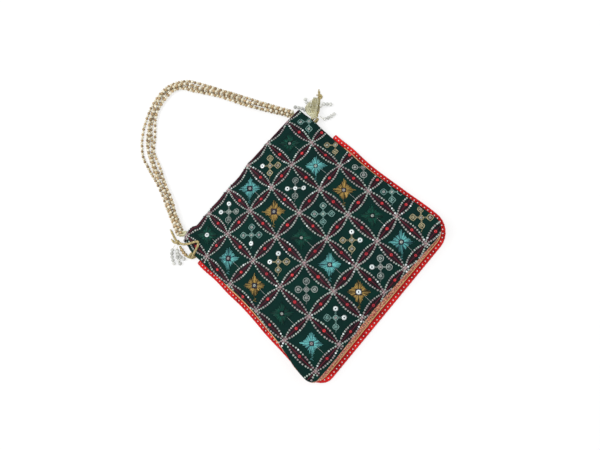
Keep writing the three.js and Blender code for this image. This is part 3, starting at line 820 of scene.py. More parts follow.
def makeCordBeads():
    route = centripetal(leftBackLeg, 12)
    lengths = lengthsAlong(route)
    beads = []
    for number, share in enumerate(cords["beadsAt"], 1):
        place, direction = placeAt(route, lengths, lengths[-1] * share)
        pile = newPile()
        addLathe(pile, place, direction, cords["beadProfile"], 16, 0, 0.4 + 0.2 * number)
        beads.append(makePiece(f"cordBead.{number}", pile, ["goldBead"],
                               [f"cord_bead_{number}"]))
    return beads


crystals = {
    "diameter": 0.0047,
    "pitch": 0.0038,
    "facets": 8,
    "profile": ((-1, 0.45), (-0.5, 0.86), (0, 1), (0.5, 0.86), (1, 0.45)),  # of half a length, of a radius
    "threadRadius": 0.00022,
    "bareEnd": 0.002,
}
crystalRoutes = {
    "left_1": [(-0.1044, 0.1064, 0.003), (-0.1095, 0.1056, 0.0021), (-0.1153, 0.101, 0.002),
               (-0.1205, 0.0914, 0.002)],
    "left_2": [(-0.1042, 0.103, 0.0032), (-0.108, 0.1002, 0.0021), (-0.1121, 0.0956, 0.002),
               (-0.1154, 0.086, 0.002)],
    "left_3": [(-0.1044, 0.1014, 0.0074), (-0.1072, 0.0976, 0.0064), (-0.1094, 0.0924, 0.003),
               (-0.108, 0.0866, 0.002)],
    "right_1": [(0.1006, 0.0946, 0.0026), (0.099, 0.101, 0.002), (0.0972, 0.108, 0.002),
                (0.0926, 0.1164, 0.002)],
    "right_2": [(0.1043, 0.094, 0.0026), (0.1044, 0.101, 0.002), (0.105, 0.1074, 0.002),
                (0.1079, 0.1142, 0.002)],
    "right_3": [(0.1062, 0.0916, 0.0048), (0.1105, 0.0934, 0.0048), (0.1155, 0.093, 0.0044),
                (0.1192, 0.0894, 0.0026), (0.122, 0.086, 0.002)],
    "right_4": [(0.1036, 0.087, 0.0038), (0.1042, 0.082, 0.0022), (0.1084, 0.079, 0.002),
                (0.1172, 0.0768, 0.002)],
}


def makeCrystalString(label, route):
    line = centripetal(route, 10)
    lengths = lengthsAlong(line)
    pile = newPile()
    addTube(pile, line, crystals["threadRadius"], 5, 1, 0.6)
    for i in range(int((lengths[-1] - crystals["bareEnd"]) / crystals["pitch"])):
        place, direction = placeAt(line, lengths, lengths[-1] - crystals["pitch"] * (i + 0.5))
        half, wide = crystals["pitch"] * 0.46, crystals["diameter"] / 2 * chance.uniform(0.86, 1)
        place.z = max(place.z, wide + 0.0001)
        profile = [(half * along, wide * share) for along, share in crystals["profile"]]
        addLathe(pile, place, direction, profile, crystals["facets"], 0, chance.random())
    return makePiece(f"crystalString.{label}", pile, ["crystal", "fringe"],
                     [f"crystal_strand_{label}"], soft=False)


fringe = {
    "threads": 120,
    "radius": 0.00024,
    "bindingRadius": 0.0004,
    "stations": [  # middle of the fan, half its width and half its height
        ((0.0964, 0.0866, 0.0116), 0.0026, 0.0006),
        ((0.0988, 0.09, 0.0106), 0.0034, 0.0008),
        ((0.1009, 0.0955, 0.0086), 0.0056, 0.0011),
        ((0.1052, 0.0998, 0.0062), 0.0072, 0.0012),
        ((0.1112, 0.1036, 0.0046), 0.0066, 0.001),
        ((0.1152, 0.106, 0.004), 0.0046, 0.001),
    ],
    "binding": [(0.0978, 0.0894, 0.0101), (0.0986, 0.0904, 0.0101), (0.0994, 0.0914, 0.0101)],
    "bindingSide": Vector((0.72, -0.69, 0)),
}


def wayAt(stations, j):  # where a bundle of threads heads at one of its stations
    return Vector(stations[min(j + 1, len(stations) - 1)][0]) - Vector(stations[max(j - 1, 0)][0])


def threadThrough(stations, across, above):  # shares of the width and height at each station
    points = []
    for j, (middle, wide, high) in enumerate(stations):
        points.append(Vector(middle) + sideOf(wayAt(stations, j)) * wide * across() + upward * (high * above))
    return points


def addBinding(pile, centre, side, wide, high, steps):  # one turn of thread
    turn = [around(centre, side, upward, math.tau * k / steps, wide, high) for k in range(steps + 1)]
    addTube(pile, turn, fringe["bindingRadius"], 5, tint=0.7)


def makeThreadTassel():
    pile = newPile()
    for _ in range(fringe["threads"]):
        lane, layer = chance.uniform(-1, 1), chance.uniform(-1, 1)
        points = threadThrough(fringe["stations"], lambda: lane + chance.uniform(-0.12, 0.12), layer)
        line = centripetal(points, 5)
        short = clamp(-lane, 0, 1) * 10 + chance.uniform(0, 5)  # the fan's left side is shorter
        shade = clamp(0.5 - 0.35 * lane + chance.gauss(0, 0.25), 0, 1)
        addTube(pile, line[:len(line) - round(short)], fringe["radius"], 4, tint=shade)
    for place in fringe["binding"]:
        addBinding(pile, Vector(place), fringe["bindingSide"], 0.0022, 0.0011, 12)
    return makePiece("threadTassel", pile, ["fringe"], ["thread_tassel"])


gathers = {
    "left": [((-0.0815, 0.095, 0.0049), 0.0015, 0.0015), ((-0.0836, 0.1005, 0.0047), 0.002, 0.0014),
             ((-0.0876, 0.1056, 0.0049), 0.0032, 0.0019)],
    "right": [((0.0795, 0.098, 0.0049), 0.0015, 0.0015), ((0.0812, 0.1046, 0.0048), 0.002, 0.0015),
              ((0.0834, 0.108, 0.0049), 0.0028, 0.0018)],
    "threads": 26,
    "threadRadius": 0.00045,
    "turns": 4,
    "turnPitch": 0.0007,
}


def makeGather(label):  # the strands' threads drawn together and bound, sewn inside the mouth
    route = handleRoute if label == "left" else handleRoute[::-1]
    facing = Vector((route[1][0] - route[0][0], route[1][1] - route[0][1], 0)).normalized()
    spacing = handle["strandSpacing"]
    end = Vector((*route[0], handle["gatherLift"] + spacing * 0.93)) + facing * 0.0002
    stations = gathers[label] + [(end, spacing * 1.3, spacing * 0.75)]
    pile = newPile()
    for _ in range(gathers["threads"]):
        angle, reach = chance.uniform(0, math.tau), math.sqrt(chance.random()) * 0.86
        points = threadThrough(stations, lambda: reach * math.cos(angle), reach * math.sin(angle))
        addTube(pile, centripetal(points, 4), gathers["threadRadius"], 5, tint=chance.random())
    middle, wide, high = stations[2]
    direction = wayAt(stations, 2).normalized()
    for k in range(gathers["turns"]):
        centre = Vector(middle) + direction * gathers["turnPitch"] * (k - 1.5)
        addBinding(pile, centre, sideOf(direction), wide * 0.9, high * 0.9, 14)
    makePiece(f"handleGather.{label}", pile, ["fringe"], [f"handle_gather_{label}"])


def makeDrawstring(name, points, node):
    line = centripetal(points, 8)
    pile = newPile()
    addTwisted(pile, line, cords["laidDiameter"], cords["twistPitch"])
    cord = makePiece(name, pile, ["cord"], [node])
    path = [p for p, d in evenly(line, 0.002)]


makeHandle()
makeGather("left")
makeGather("right")
knotLeft = makeKnot("knotLeft", leftKnotAt, leftTails, "drawstring_knot_left", 0.5)
knotRight = makeKnot("knotRight", rightKnotAt, rightTails, "drawstring_knot_right", -0.6)
beadPieces = makeCordBeads()
crystalPieces = {label: makeCrystalString(label, route) for label, route in crystalRoutes.items()}
tassel = makeThreadTassel()
makeDrawstring("drawstringLeft", drawstringPoints(cords["leftY"], -1, leftFrontLeg, leftBackLeg),
               "drawstring_left")
makeDrawstring("drawstringRight", drawstringPoints(cords["rightY"], 1, rightFrontLeg, rightBackLeg),
               "drawstring_right")
print("handle, cords and tassels made")


# Cloth panels: a sheet whose mouth edge folds inside as the hem
sheets = {
    "step": 0.0021,
    "thickness": 0.0005,
    "foldRadius": 0.0009,
    "columns": 92,
    "puckerDepth": 0.00035,  # at each stitch line of the channel
    "puckerReach": 0.0016,
    "rippleHeight": 0.0003,
    "bunchReach": 0.0032,  # the mouth's fold at the left
    "spareLength": 0.006,  # the front has a little more cloth than its outline needs
    "sewnDown": 0.03,  # how much the lining and stitches hold the front's cloth all over
    "stitchHold": 0.5,
    "airLift": 0.12,
    "mostSink": 0.0003,
    "mostMove": 0.0018,
    "frames": 22,
    "grow": 10.0,  # the solver works better on a larger model
    "backLift": 0.0015,  # room for the back's own embroidery over the table
    "solver": {
        "quality": 5, "mass": 0.25, "tension_stiffness": 18, "compression_stiffness": 18,
        "shear_stiffness": 8, "bending_stiffness": 2.2,
    },
}


def clothRows(panel):  # each row: distance along the cloth, y, depth under the outer face
    rows = []
    bottomY, radius = panel["bottomY"], bag["cornerRadius"]
    for degrees in range(90, 0, -10):
        y = bottomY + radius * (1 - math.sin(math.radians(degrees)))
        rows.append((y, y, 0.0))
    fold = sheets["foldRadius"]
    top = bag["mouthY"] - fold
    count = round((top - bottomY - radius) / sheets["step"])
    for i in range(count + 1):
        y = mix(bottomY + radius, top, i / count)
        rows.append((y, y, 0.0))
    for i in range(1, 5):
        angle = math.pi * i / 4
        rows.append((top + fold * angle, top + fold * math.sin(angle), fold * (1 - math.cos(angle))))
    length = top + fold * math.pi
    count = round((top - bag["hemEndY"]) / sheets["step"])
    for i in range(1, count + 1):
        y = mix(top, bag["hemEndY"], i / count)
        rows.append((length + top - y, y, max(2 * fold, hemDepth(y))))
    return rows


def mouthWave(x, y):  # the mouth's edge isn't quite straight, and is bunched up at the left
    step = mix(-0.0012, 0.0009, smooth(x, -0.006, 0.018))
    bunch = smooth(-x, 0.072, 0.077) * (1 - smooth(-x, 0.088, 0.0935)) * sheets["bunchReach"]
    return (step + bunch) * smooth(y, 0.088, 0.103)


def pucker(x, y):  # small dents along the channel's stitches, with gathers between them
    dent = 0.0
    for line in (bag["channelLowY"], bag["channelHighY"]):
        dent += math.exp(-(((y - line) / sheets["puckerReach"]) ** 2)) * sheets["puckerDepth"]
    near = smooth(y, 0.062, 0.082)
    ripple = math.sin(x * 520 + 2.1 * math.sin(x * 61)) * (0.6 + 0.4 * math.sin(x * 143 + 1))
    return near * ripple * sheets["rippleHeight"] - dent


def makePanelPile(panel, rows, lift):
    columns = sheets["columns"]
    points, places = [], []
    for length, y, depth in rows:
        outer = length <= bag["mouthY"]
        for i in range(columns + 1):
            u = 2 * i / columns - 1
            place = panelPoint(panel, u, y, depth + lift)
            place.y += mouthWave(place.x, y)
            if panel is front:
                place.z += pucker(place.x, y) * (1 if outer else 0.5) * (1 - u ** 8)
            points.append(place)
            places.append((u * panel["width"](y), length))
    faces = gridFaces(len(rows), columns + 1)
    pile = newPile()
    addTo(pile, points, faces if panel is front else [f[::-1] for f in faces], places=places)
    return pile


def holdAt(j, i, length):  # how firmly a point of the front is held while the cloth settles
    edge = min(i, sheets["columns"] - i, j)
    hold = 1.0 if edge == 0 or length > bag["mouthY"] - 0.003 else 0.0
    for line in (bag["channelLowY"], bag["channelHighY"]):
        if abs(length - line) < sheets["step"] * 0.6:
            hold = max(hold, sheets["stitchHold"])
    return max(hold, sheets["sewnDown"])


def settleCloth(piece, rows):  # the spare cloth buckles softly between its seams
    mesh = piece.data
    smoothShape = [v.co.copy() for v in mesh.vertices]
    seams = piece.vertex_groups.new(name="seams")
    grow = sheets["grow"]
    for index, vertex in enumerate(mesh.vertices):
        j, i = divmod(index, sheets["columns"] + 1)
        seams.add([index], holdAt(j, i, rows[j][0]), "REPLACE")
        vertex.co *= grow
    settle = piece.modifiers.new("settle", "CLOTH")
    options = settle.settings
    options.vertex_group_mass = "seams"
    for key, value in sheets["solver"].items():
        setattr(options, key, value)
    options.shrink_min = -sheets["spareLength"]
    options.use_pressure = False
    options.effector_weights.gravity = -sheets["airLift"]
    settle.point_cache.frame_start = 1
    settle.point_cache.frame_end = sheets["frames"]
    scene = bpy.context.scene
    for number in range(1, sheets["frames"] + 1):
        scene.frame_set(number)
    seen = piece.evaluated_get(bpy.context.evaluated_depsgraph_get())
    settled = [v.co / grow for v in seen.data.vertices]
    piece.modifiers.remove(settle)
    piece.vertex_groups.clear()
    scene.frame_set(1)
    for vertex, start, end in zip(mesh.vertices, smoothShape, settled):
        move = end - start
        move.z = clamp(move.z, -sheets["mostSink"], sheets["mostMove"])
        vertex.co = start + move
    rises = sorted(v.co.z - start.z for v, start in zip(mesh.vertices, smoothShape))
    print("cloth settled, height changes in mm:",
          [round(1000 * rises[int(share * (len(rises) - 1))], 2) for share in (0, 0.1, 0.5, 0.9, 1)])
    mesh.update()


def makePanel(name, panel, node):
    rows = clothRows(panel)
    pile = makePanelPile(panel, rows, sheets["backLift"] if panel is back else 0.0)
    piece = makePiece(name, pile, ["green"], [node])
    if panel is front:
        settleCloth(piece, rows)
    cloth = {
        "panel": panel,
        "lengths": [row[0] for row in rows],
        "points": [v.co.copy() for v in piece.data.vertices],
        "normals": [v.normal.copy() for v in piece.data.vertices],
    }
    thicken(piece, sheets["thickness"])
    return cloth


frontCloth = makePanel("frontPanel", front, "front_panel")
backCloth = makePanel("backPanel", back, "back_panel")
print("cloth panels made")


def onCloth(cloth, plan):  # the cloth's surface under a plan point: place and normal, or nothing
    panel = cloth["panel"]
    flatX, own = plan.x, plan.y
    for _ in range(4):
        reached = planPoint(panel, flatX, own, 0)
        flatX += plan.x - reached.x
        own += plan.y - reached.y
    u = flatX / (panel["width"](own) - cornerCut(panel, flatX, own))
    lengths = cloth["lengths"]
    if abs(u) > 0.992 or own < lengths[0] + 0.0005 or own > lengths[-1]:
        return None
    columns = sheets["columns"]
    j = clamp(bisect_right(lengths, own) - 1, 0, len(lengths) - 2)
    v = (own - lengths[j]) / (lengths[j + 1] - lengths[j])
    across = (u + 1) / 2 * columns
    i = clamp(int(across), 0, columns - 1)
    s = across - i
    a = j * (columns + 1) + i
    corners = [(a, (1 - s) * (1 - v)), (a + 1, s * (1 - v)),
               (a + columns + 1, (1 - s) * v), (a + columns + 2, s * v)]
    place, normal = Vector(), Vector()
    for index, share in corners:
        place += cloth["points"][index] * share
        normal += cloth["normals"][index] * share
    return place, normal.normalized()


# Embroidery: a net of petals with stars and flowers between them
pattern = {
    "lineX": [0.0746, 0.0433, 0.0119, -0.0208, -0.0540, -0.0875],  # petal lines, right to left
    "lineSpread": [0.0, 0.0, 0.0, 0.0, -0.0005, -0.0020],  # how far each leans out at the bottom
    "rows": [  # each row of crossings, at the left, middle and right of the bag
        (0.1000, 0.1030, 0.1073), (0.0692, 0.0664, 0.0713), (0.0288, 0.0255, 0.0301),
        (-0.0100, -0.0134, -0.0085), (-0.0505, -0.0525, -0.0463), (-0.0928, -0.0895, -0.0847),
    ],
    "knots": 10,  # threads at each crossing, with sequins between them
    "knotSequins": 4,
    "knotSequinReach": 0.0018,
    "petalHalfWidth": 0.0041,
    "petalEnds": (0.1, 0.9),  # shares of its length between which it is filled
    "petalFill": 0.00018,  # height over the cloth
    "fillParts": 7,
    "slantStitches": 46,
    "slantReach": 0.68,  # share of the petal's half width, as is the chain's
    "chainReach": 0.07,
    "outlineSteps": 14,
    "sequinsPerSide": 12,
    "whiteShare": 0.05,  # of the small sequins
    "starTurn": math.radians(-46.5),  # the star's first tip points to the image's right
    "starReach": 0.0126,
    "starWaist": 0.0071,
    "starHeart": 0.0033,
    "starFill": 0.0002,
    "starParts": 24,  # of the ground under the threads
    "starThreads": 84,
    "heartThreads": 10,
    "starTail": 0.0165,
    "flowerArm": 0.0084,
    "rosette": 0.0031,
    "rosetteSteps": 12,
    "rosetteTurn": 0.82,
    "rosetteThreads": 9,
    "rosetteSequins": 0.6,  # share that has one
}
stitchKinds = {  # radius of each kind of stitch, and its height over the cloth
    "slant": (0.00016, 0.00015),
    "chain": (0.00019, 0.0003),
    "outline": (0.00026, 0.0),
    "knot": (0.00034, 0.0003),
    "fine": (0.0002, 0.0002),
    "jump": (0.00017, 0.0002),
    "loose": (0.00022, 0.0002),
    "ring": (0.00036, 0.0002),
    "web": (0.00024, 0.00025),
}
sequinKinds = {  # finish, radius, and the cup's depth as a share of the radius
    "petal": ("silverSequin", 0.00112, 0.6),
    "petalWhite": ("whiteSequin", 0.00112, 0.6),
    "petalRed": ("redSequin", 0.00165, 0.34),
    "crossing": ("silverSequin", 0.0008, 0.6),
    "starMiddle": ("silverSequin", 0.0015, 0.3),
    "flowerMiddle": ("silverSequin", 0.0014, 0.3),
    "rosette": ("silverSequin", 0.001426, 0.3),
    "large": ("whiteSequin", 0.0026, 0.2),
    "flowerWhite": ("whiteSequin", 0.0023, 0.2),
}
sequinShape = {"lift": 0.0005, "largeOver": 0.0013, "tilt": 0.14}
starColours = {  # by column, from the mouth down, as are the flowers'
    1: "forest teal gold forest teal",
    3: "teal gold forest teal gold",
    5: "forest teal gold forest teal",
}
flowerColours = {
    0: "tealSilver gold silver tealSilver gold",
    2: "gold silver tealSilver gold silver",
    4: "silver tealSilver gold silver tealSilver",
}
whiteSequins = {  # by column and row: image left, right, top, bottom or the centre
    (2, 1): "L", (2, 2): "CLR", (2, 4): "TR", (2, 5): "L", (4, 1): "TL", (4, 2): "B", (4, 3): "TL",
    (4, 5): "TR", (3, 5): "C", (5, 1): "C",
}
imageWays = {"R": Vector((0.69, -0.72)), "L": Vector((-0.69, 0.72)), "T": Vector((0.72, 0.69)),
             "B": Vector((-0.72, -0.69))}

# Finishes of the two embroidery pieces, in the order of their numbers
threadNames = ["maroon", "rose", "blush", "outline", "teal", "gold", "forest", "silverThread",
               "tealSilverThread", "goldThread", "shadow"]
sequinNames = ["silverSequin", "whiteSequin", "redSequin", "shadow"]


def toward(angle):  # a direction on the plan
    return Vector((math.cos(angle), math.sin(angle)))


def crossing(line, row):  # plan place of a crossing; lines and rows may lie past the ends
    def along(values, at):
        low = clamp(int(math.floor(at)), 0, len(values) - 2)
        return mix(values[low], values[low + 1], at - low)
    x = along(pattern["lineX"], line) + along(pattern["lineSpread"], line) * row / 5
    share = clamp(x / 0.088, -1.15, 1.15)
    heights = [middle + share * (right - left) / 2 + share * share * ((right + left) / 2 - middle)
               for left, middle, right in pattern["rows"]]
    return Vector((x, along(heights, row)))


def stitch(work, plan, kind, finish, tint, extra=0.0):  # a thread, cut where it leaves the cloth
    radius, lift = stitchKinds[kind]
    runs = [[]]
    for point in plan:
        found = onCloth(work["cloth"], point)
        if found:
            runs[-1].append(found[0] + found[1] * (radius * 0.6 + (lift + extra)))
        elif runs[-1]:
            runs.append([])
    for line in runs:
        if len(line) > 1:
            addTube(work["threads"], line, radius, 4, threadNames.index(finish), tint)


def sequin(work, plan, kind, scale=1.0):  # cupped; where it is large, a dark cap closes its hole as painted shade
    found = onCloth(work["cloth"], plan)
    if not found:
        return
    place, normal = found
    finish, size, dish = sequinKinds[kind]
    radius, lift = size * scale, sequinShape["lift"]
    tilt = sequinShape["tilt"]
    wobble = Vector((chance.uniform(-tilt, tilt), chance.uniform(-tilt, tilt), 0))
    rim = radius * dish
    large = radius > sequinShape["largeOver"]
    profile = [(lift - 0.0003, radius * 0.85), (lift, radius), (lift + rim, radius * 0.6)]
    if large:
        profile += [(lift + rim * 0.8, radius * 0.36), (lift + rim * 0.3, radius * 0.3)]
    else:
        profile += [(lift + rim * 0.9, radius * 0.16)]
    # the end cap of a large sequin takes the dark "shadow" finish: painted shade in its hole
    addLathe(work["sequins"], place, (normal + wobble).normalized(), profile, 14 if large else 8,
             sequinNames.index(finish), chance.random(), sequinNames.index("shadow") if large else None)


def patch(work, rows, lift, finish, tint):  # a patch of stitches through plan rows, whole or not at all
    found = [onCloth(work["cloth"], point) for row in rows for point in row]
    if all(found):
        points = [place + normal * lift for place, normal in found]
        addTo(work["threads"], points, gridFaces(len(rows), len(rows[0])), threadNames.index(finish), tint)


def addPetal(work, start, end, onEdge):  # onEdge: half of it is folded inside
    along = end - start
    side = Vector((-along.y, along.x)).normalized()
    half = pattern["petalHalfWidth"] * chance.uniform(0.94, 1.06)

    def at(t, across):
        return start + along * t + side * (half * across * 4 * t * (1 - t))
    low, high = pattern["petalEnds"]
    for k in range(pattern["fillParts"]):  # the satin fill, in short patches so that an edge can cut it
        spans = [mix(low, high, (k + m / 2) / pattern["fillParts"]) for m in range(3)]
        rows = [[at(t, c) for c in (-0.66, -0.33, 0, 0.33, 0.66)] for t in spans]
        patch(work, rows, pattern["petalFill"], "maroon", chance.uniform(0.2, 0.8))
    for k in range(pattern["slantStitches"]):  # slanting stitches over the fill
        t = mix(low, high, (k + chance.random()) / pattern["slantStitches"])
        reach = pattern["slantReach"] * chance.uniform(0.8, 1)
        stroke = [at(t - 0.02, -reach), at(t, 0), at(t + 0.02, reach)]
        stitch(work, stroke, "slant", "maroon", chance.random())
    steps = pattern["outlineSteps"]
    for offset in (-pattern["chainReach"], pattern["chainReach"]):
        line = [at(0.06 + 0.88 * i / steps, offset * (1 if i % 2 else -1)) for i in range(steps + 1)]
        stitch(work, line, "chain", "rose", chance.uniform(0.2, 1))
    count = pattern["sequinsPerSide"]
    for sign in (-1, 1):
        line = [at(0.03 + 0.94 * i / steps, sign) for i in range(steps + 1)]
        stitch(work, line, "outline", "outline", chance.uniform(0.3, 0.7))
        for i in range(count):
            t = 0.055 + 0.89 * (i + 0.5 + chance.uniform(-0.12, 0.12)) / count
            kind = "petalWhite" if chance.random() < pattern["whiteShare"] else "petal"
            sequin(work, at(t, sign), kind, chance.uniform(0.88, 1.08))
    if not onEdge:
        middle = at(0.5 + chance.uniform(-0.015, 0.015), 0)
        sequin(work, middle, "petalRed", chance.uniform(0.94, 1.06))


def addCrossing(work, centre):
    for k in range(pattern["knots"]):
        angle = math.tau * (k + chance.uniform(-0.25, 0.25)) / pattern["knots"]
        reach = chance.uniform(0.0018, 0.0034)
        out = toward(angle)
        bend = Vector((-out.y, out.x)) * chance.uniform(-0.0006, 0.0006)
        line = [centre - out * reach * 0.3, centre + out * reach * 0.4 + bend, centre + out * reach]
        stitch(work, line, "knot", "blush", chance.random())
    for k in range(pattern["knotSequins"]):
        angle = math.tau * (k + 0.5) / pattern["knotSequins"] + chance.uniform(-0.2, 0.2)
        sequin(work, centre + toward(angle) * pattern["knotSequinReach"], "crossing")


def addStar(work, centre, finish, white):
    size = chance.uniform(0.96, 1.05)
    shown = finish != "forest"  # a dark green star has no square in its middle and no tail

    def spot(angle, reach):
        return centre + toward(pattern["starTurn"] + angle) * reach

    def edge(angle):  # straight from each tip to the waist beside it
        turned = abs((angle + math.pi / 4) % (math.pi / 2) - math.pi / 4)
        tip, waist = pattern["starReach"], pattern["starWaist"] * math.sqrt(0.5)
        return tip * waist / (waist * math.cos(turned) + (tip - waist) * math.sin(turned)) * size
    heartHalf = pattern["starHeart"] * size * chance.uniform(0.62, 1.05)

    def heart(angle):
        return heartHalf / max(abs(math.cos(angle)), abs(math.sin(angle)))
    parts = pattern["starParts"]
    for k in range(parts):
        a, b = math.tau * k / parts, math.tau * (k + 1) / parts
        rows = [[spot(a, heart(a)), spot(b, heart(b))],
                [spot(a, mix(heart(a), edge(a), 0.75)), spot(b, mix(heart(b), edge(b), 0.75))]]
        patch(work, rows, pattern["starFill"], finish, 0.0)
    count = pattern["starThreads"]
    for k in range(count):
        angle = math.tau * (k + chance.uniform(-0.3, 0.3)) / count
        inner = heart(angle) * chance.uniform(0.85, 1.05)
        outer = edge(angle) * chance.uniform(0.84, 1.04)
        sweep = chance.uniform(-0.04, 0.04)
        line = [spot(angle, inner), spot(angle + sweep * 0.5, mix(inner, outer, 0.5)),
                spot(angle + sweep, outer)]
        stitch(work, line, "fine", finish, chance.choice((0.0, 0.2, 0.5, 0.8, 1.0)), 0.0002 * chance.random())
    if shown:
        square = [[spot(math.pi / 4 + math.pi / 2 * k, heartHalf * 1.3) for k in pair]
                  for pair in ((1, 0), (2, 3))]
        patch(work, square, pattern["starFill"], "shadow", 0.4)
    for k in range(pattern["heartThreads"]):
        angle = math.tau * k / pattern["heartThreads"]
        line = [spot(angle, 0.0004), spot(angle + 0.3, heart(angle) * 0.8)]
        stitch(work, line, "fine", "shadow", chance.random())
    sequin(work, centre, "large" if white else "starMiddle")
    if shown:  # the loose thread from the lower tip
        reaches = [mix(pattern["starReach"], pattern["starTail"], k / 5) for k in range(6)]
        tail = [spot(math.pi * 1.5 + 0.12 * math.sin(k * 1.7), reach) for k, reach in enumerate(reaches)]
        stitch(work, tail, "loose", finish, 0.4)
    jump = [centre + Vector((0.0012, -0.0022 - 0.0125 * k / 5)) for k in range(6)]
    stitch(work, jump, "jump", "silverThread", 0.7)


def addRosette(work, centre, radius, finish, diamond):
    ring = []
    for k in range(pattern["rosetteSteps"] + 1):
        angle = math.tau * k / pattern["rosetteSteps"]
        reach = radius
        if diamond:
            quarter = ((angle / (math.pi / 2)) % 1) - 0.5
            reach = radius * mix(1.1, 0.82, 1 - abs(quarter) * 2)
        ring.append(centre + toward(angle + pattern["rosetteTurn"]) * reach)
    stitch(work, ring, "ring", finish, chance.uniform(0.4, 0.9))
    start = chance.uniform(0, 1)
    for k in range(pattern["rosetteThreads"]):
        a = start + k * 2.4
        line = [centre + toward(a) * radius * 0.95, centre + toward(a + 2.6) * radius * 0.6]
        stitch(work, line, "web", finish, chance.random())
    if chance.random() < pattern["rosetteSequins"]:
        sequin(work, centre, "rosette", radius / pattern["rosette"])


def addFlower(work, centre, colour, whites):
    finish = colour + "Thread"
    if "C" in whites:
        sequin(work, centre, "flowerWhite")
    else:
        addRosette(work, centre, pattern["rosette"] * 0.74, finish, False)
        sequin(work, centre, "flowerMiddle")
    for label, out in imageWays.items():
        arm = pattern["flowerArm"] * chance.uniform(0.95, 1.05)
        tip = centre + out * arm
        for offset in (-0.0002, 0.0003):
            across = Vector((-out.y, out.x)) * offset
            line = [centre + out * 0.0022 + across, centre + out * arm * 0.5 + across * 2,
                    tip - out * 0.0024 + across]
            stitch(work, line, "loose", finish, chance.uniform(0.3, 0.9))
        if label in whites:
            sequin(work, tip, "large")
        else:
            addRosette(work, tip, pattern["rosette"] * chance.uniform(0.9, 1.06), finish, colour != "silver")
    tail = [centre + imageWays["B"] * (pattern["flowerArm"] + 0.003 + 0.003 * k / 3)
            + Vector((0.0004, -0.0004)) * math.sin(k * 2.0) for k in range(4)]
    stitch(work, tail, "fine", finish, 0.6)


def embroider(cloth, label):
    work = {"cloth": cloth, "threads": newPile(), "sequins": newPile()}
    for line in range(-1, 7):
        for row in range(6):
            here = crossing(line, row)
            addCrossing(work, here)
            addPetal(work, here, crossing(line + 1, row), row == 0)
            addPetal(work, here, crossing(line, row + 1), False)
    for column in range(7):
        for row in range(1, 6):
            centre = (crossing(column - 1, row - 1) + crossing(column, row - 1)
                      + crossing(column - 1, row) + crossing(column, row)) / 4
            whites = whiteSequins.get((column, row), "")
            if column in starColours:
                addStar(work, centre, starColours[column].split()[row - 1], "C" in whites)
            elif column in flowerColours:
                addFlower(work, centre, flowerColours[column].split()[row - 1], whites)
    makePiece(f"embroideryThreads.{label}", work["threads"], threadNames)
    makePiece(f"embroiderySequins.{label}", work["sequins"], sequinNames)
    print(label, "embroidered with", len(work["threads"]["faces"]), "thread faces and",
          len(work["sequins"]["faces"]), "sequin faces")


embroider(frontCloth, "front")
embroider(backCloth, "back")


# Gusset, lace and lining
edging = {
    "inset": 0.0004,
    "bandThickness": 0.0005,
    "bandHeight": 0.016,
    "bandFold": 0.0005,
    "braidAt": 0.2,  # share of the band's height
    "braidDiameter": 0.0014,
    "braidPitch": 0.0036,
    "laceGap": 0.0001,
    "laceWidth": 0.005,
    "laceTuck": 0.0025,  # how far it is hidden under the slumped corner
    "laceLoose": 0.0016,
    "lacePitch": 0.0042,
    "laceThread": 0.00109,
    "laceLines": (-0.35, -0.15, 0.03, 0.18, 0.94),  # the header that is sewn to the rim, and the outer edge
    "ringsAt": 0.56,  # share of the lace's width
    "ringLength": 0.4,  # of the pitch
    "ringWidth": 0.32,  # of the lace's width
    "picot": 0.001,
    "picotSpread": 0.62,  # angle between two of them
}


def rimStations(step=0.003, short=0.003):  # from the left trim's top, round the bottom, to the right's
    low = bag["frontBottomY"] + bag["cornerRadius"]

    def upSide(side, start):
        count = round((start - short - low) / step)
        return [{"side": side, "y": mix(low, start - short, i / count)} for i in range(1, count + 1)]
    return [
        *reversed(upSide(-1, bag["leftTrimStartY"])),
        *[{"side": -1, "turn": t} for t in range(0, 91, 9)],
        *[{"side": a / 33, "along": a / 33} for a in range(-32, 33)],
        *[{"side": 1, "turn": t} for t in range(90, -1, -9)],
        *upSide(1, bag["rightTrimStartY"]),
    ]


def rimPoint(panel, station, outward, z):
    sign = -1 if station["side"] < 0 else 1
    corner = cornerOf(panel, sign)
    radius = corner + outward
    bottom = panel["bottomY"]
    if "along" in station:
        return planPoint(panel, station["along"] * (panel["width"](bottom) - corner), bottom - outward, z)
    if "y" in station:
        return planPoint(panel, sign * (panel["width"](station["y"]) - corner + radius), station["y"], z)
    angle = math.radians(station["turn"])
    y = bottom + corner - radius * math.sin(angle)
    x = sign * (panel["width"](max(y, bottom)) - corner + radius * math.cos(angle))
    return planPoint(panel, x, y, z)


def rimY(station):
    return station.get("y", bag["frontBottomY"])


def sagAt(station):
    if station["side"] >= 0 or "along" in station:
        return 0.0
    return smooth(-rimY(station), 0.02, 0.07) * (1 - smooth(station.get("turn", 0), 35, 80))


def bellyAt(station):
    belly = mix(bag["sideBelly"], bag["cornerBelly"], sagAt(station))
    return belly * opened(rimY(station), station["side"])


def gussetPoint(station, share, out=0.0):  # share 0 at the back's rim, 1 at the front's
    y = rimY(station)
    top = frontEdgeZ(y, station["side"]) - bag["cloth"] * 0.7
    low = backEdgeZ(y, station["side"]) + bag["cloth"] * 0.7
    bulge = math.sin(math.pi * share) * bellyAt(station)
    a = rimPoint(back, station, bulge - edging["inset"] + out, mix(low, top, share))
    b = rimPoint(front, station, bulge - edging["inset"] + out, mix(low, top, share))
    return a.lerp(b, share)


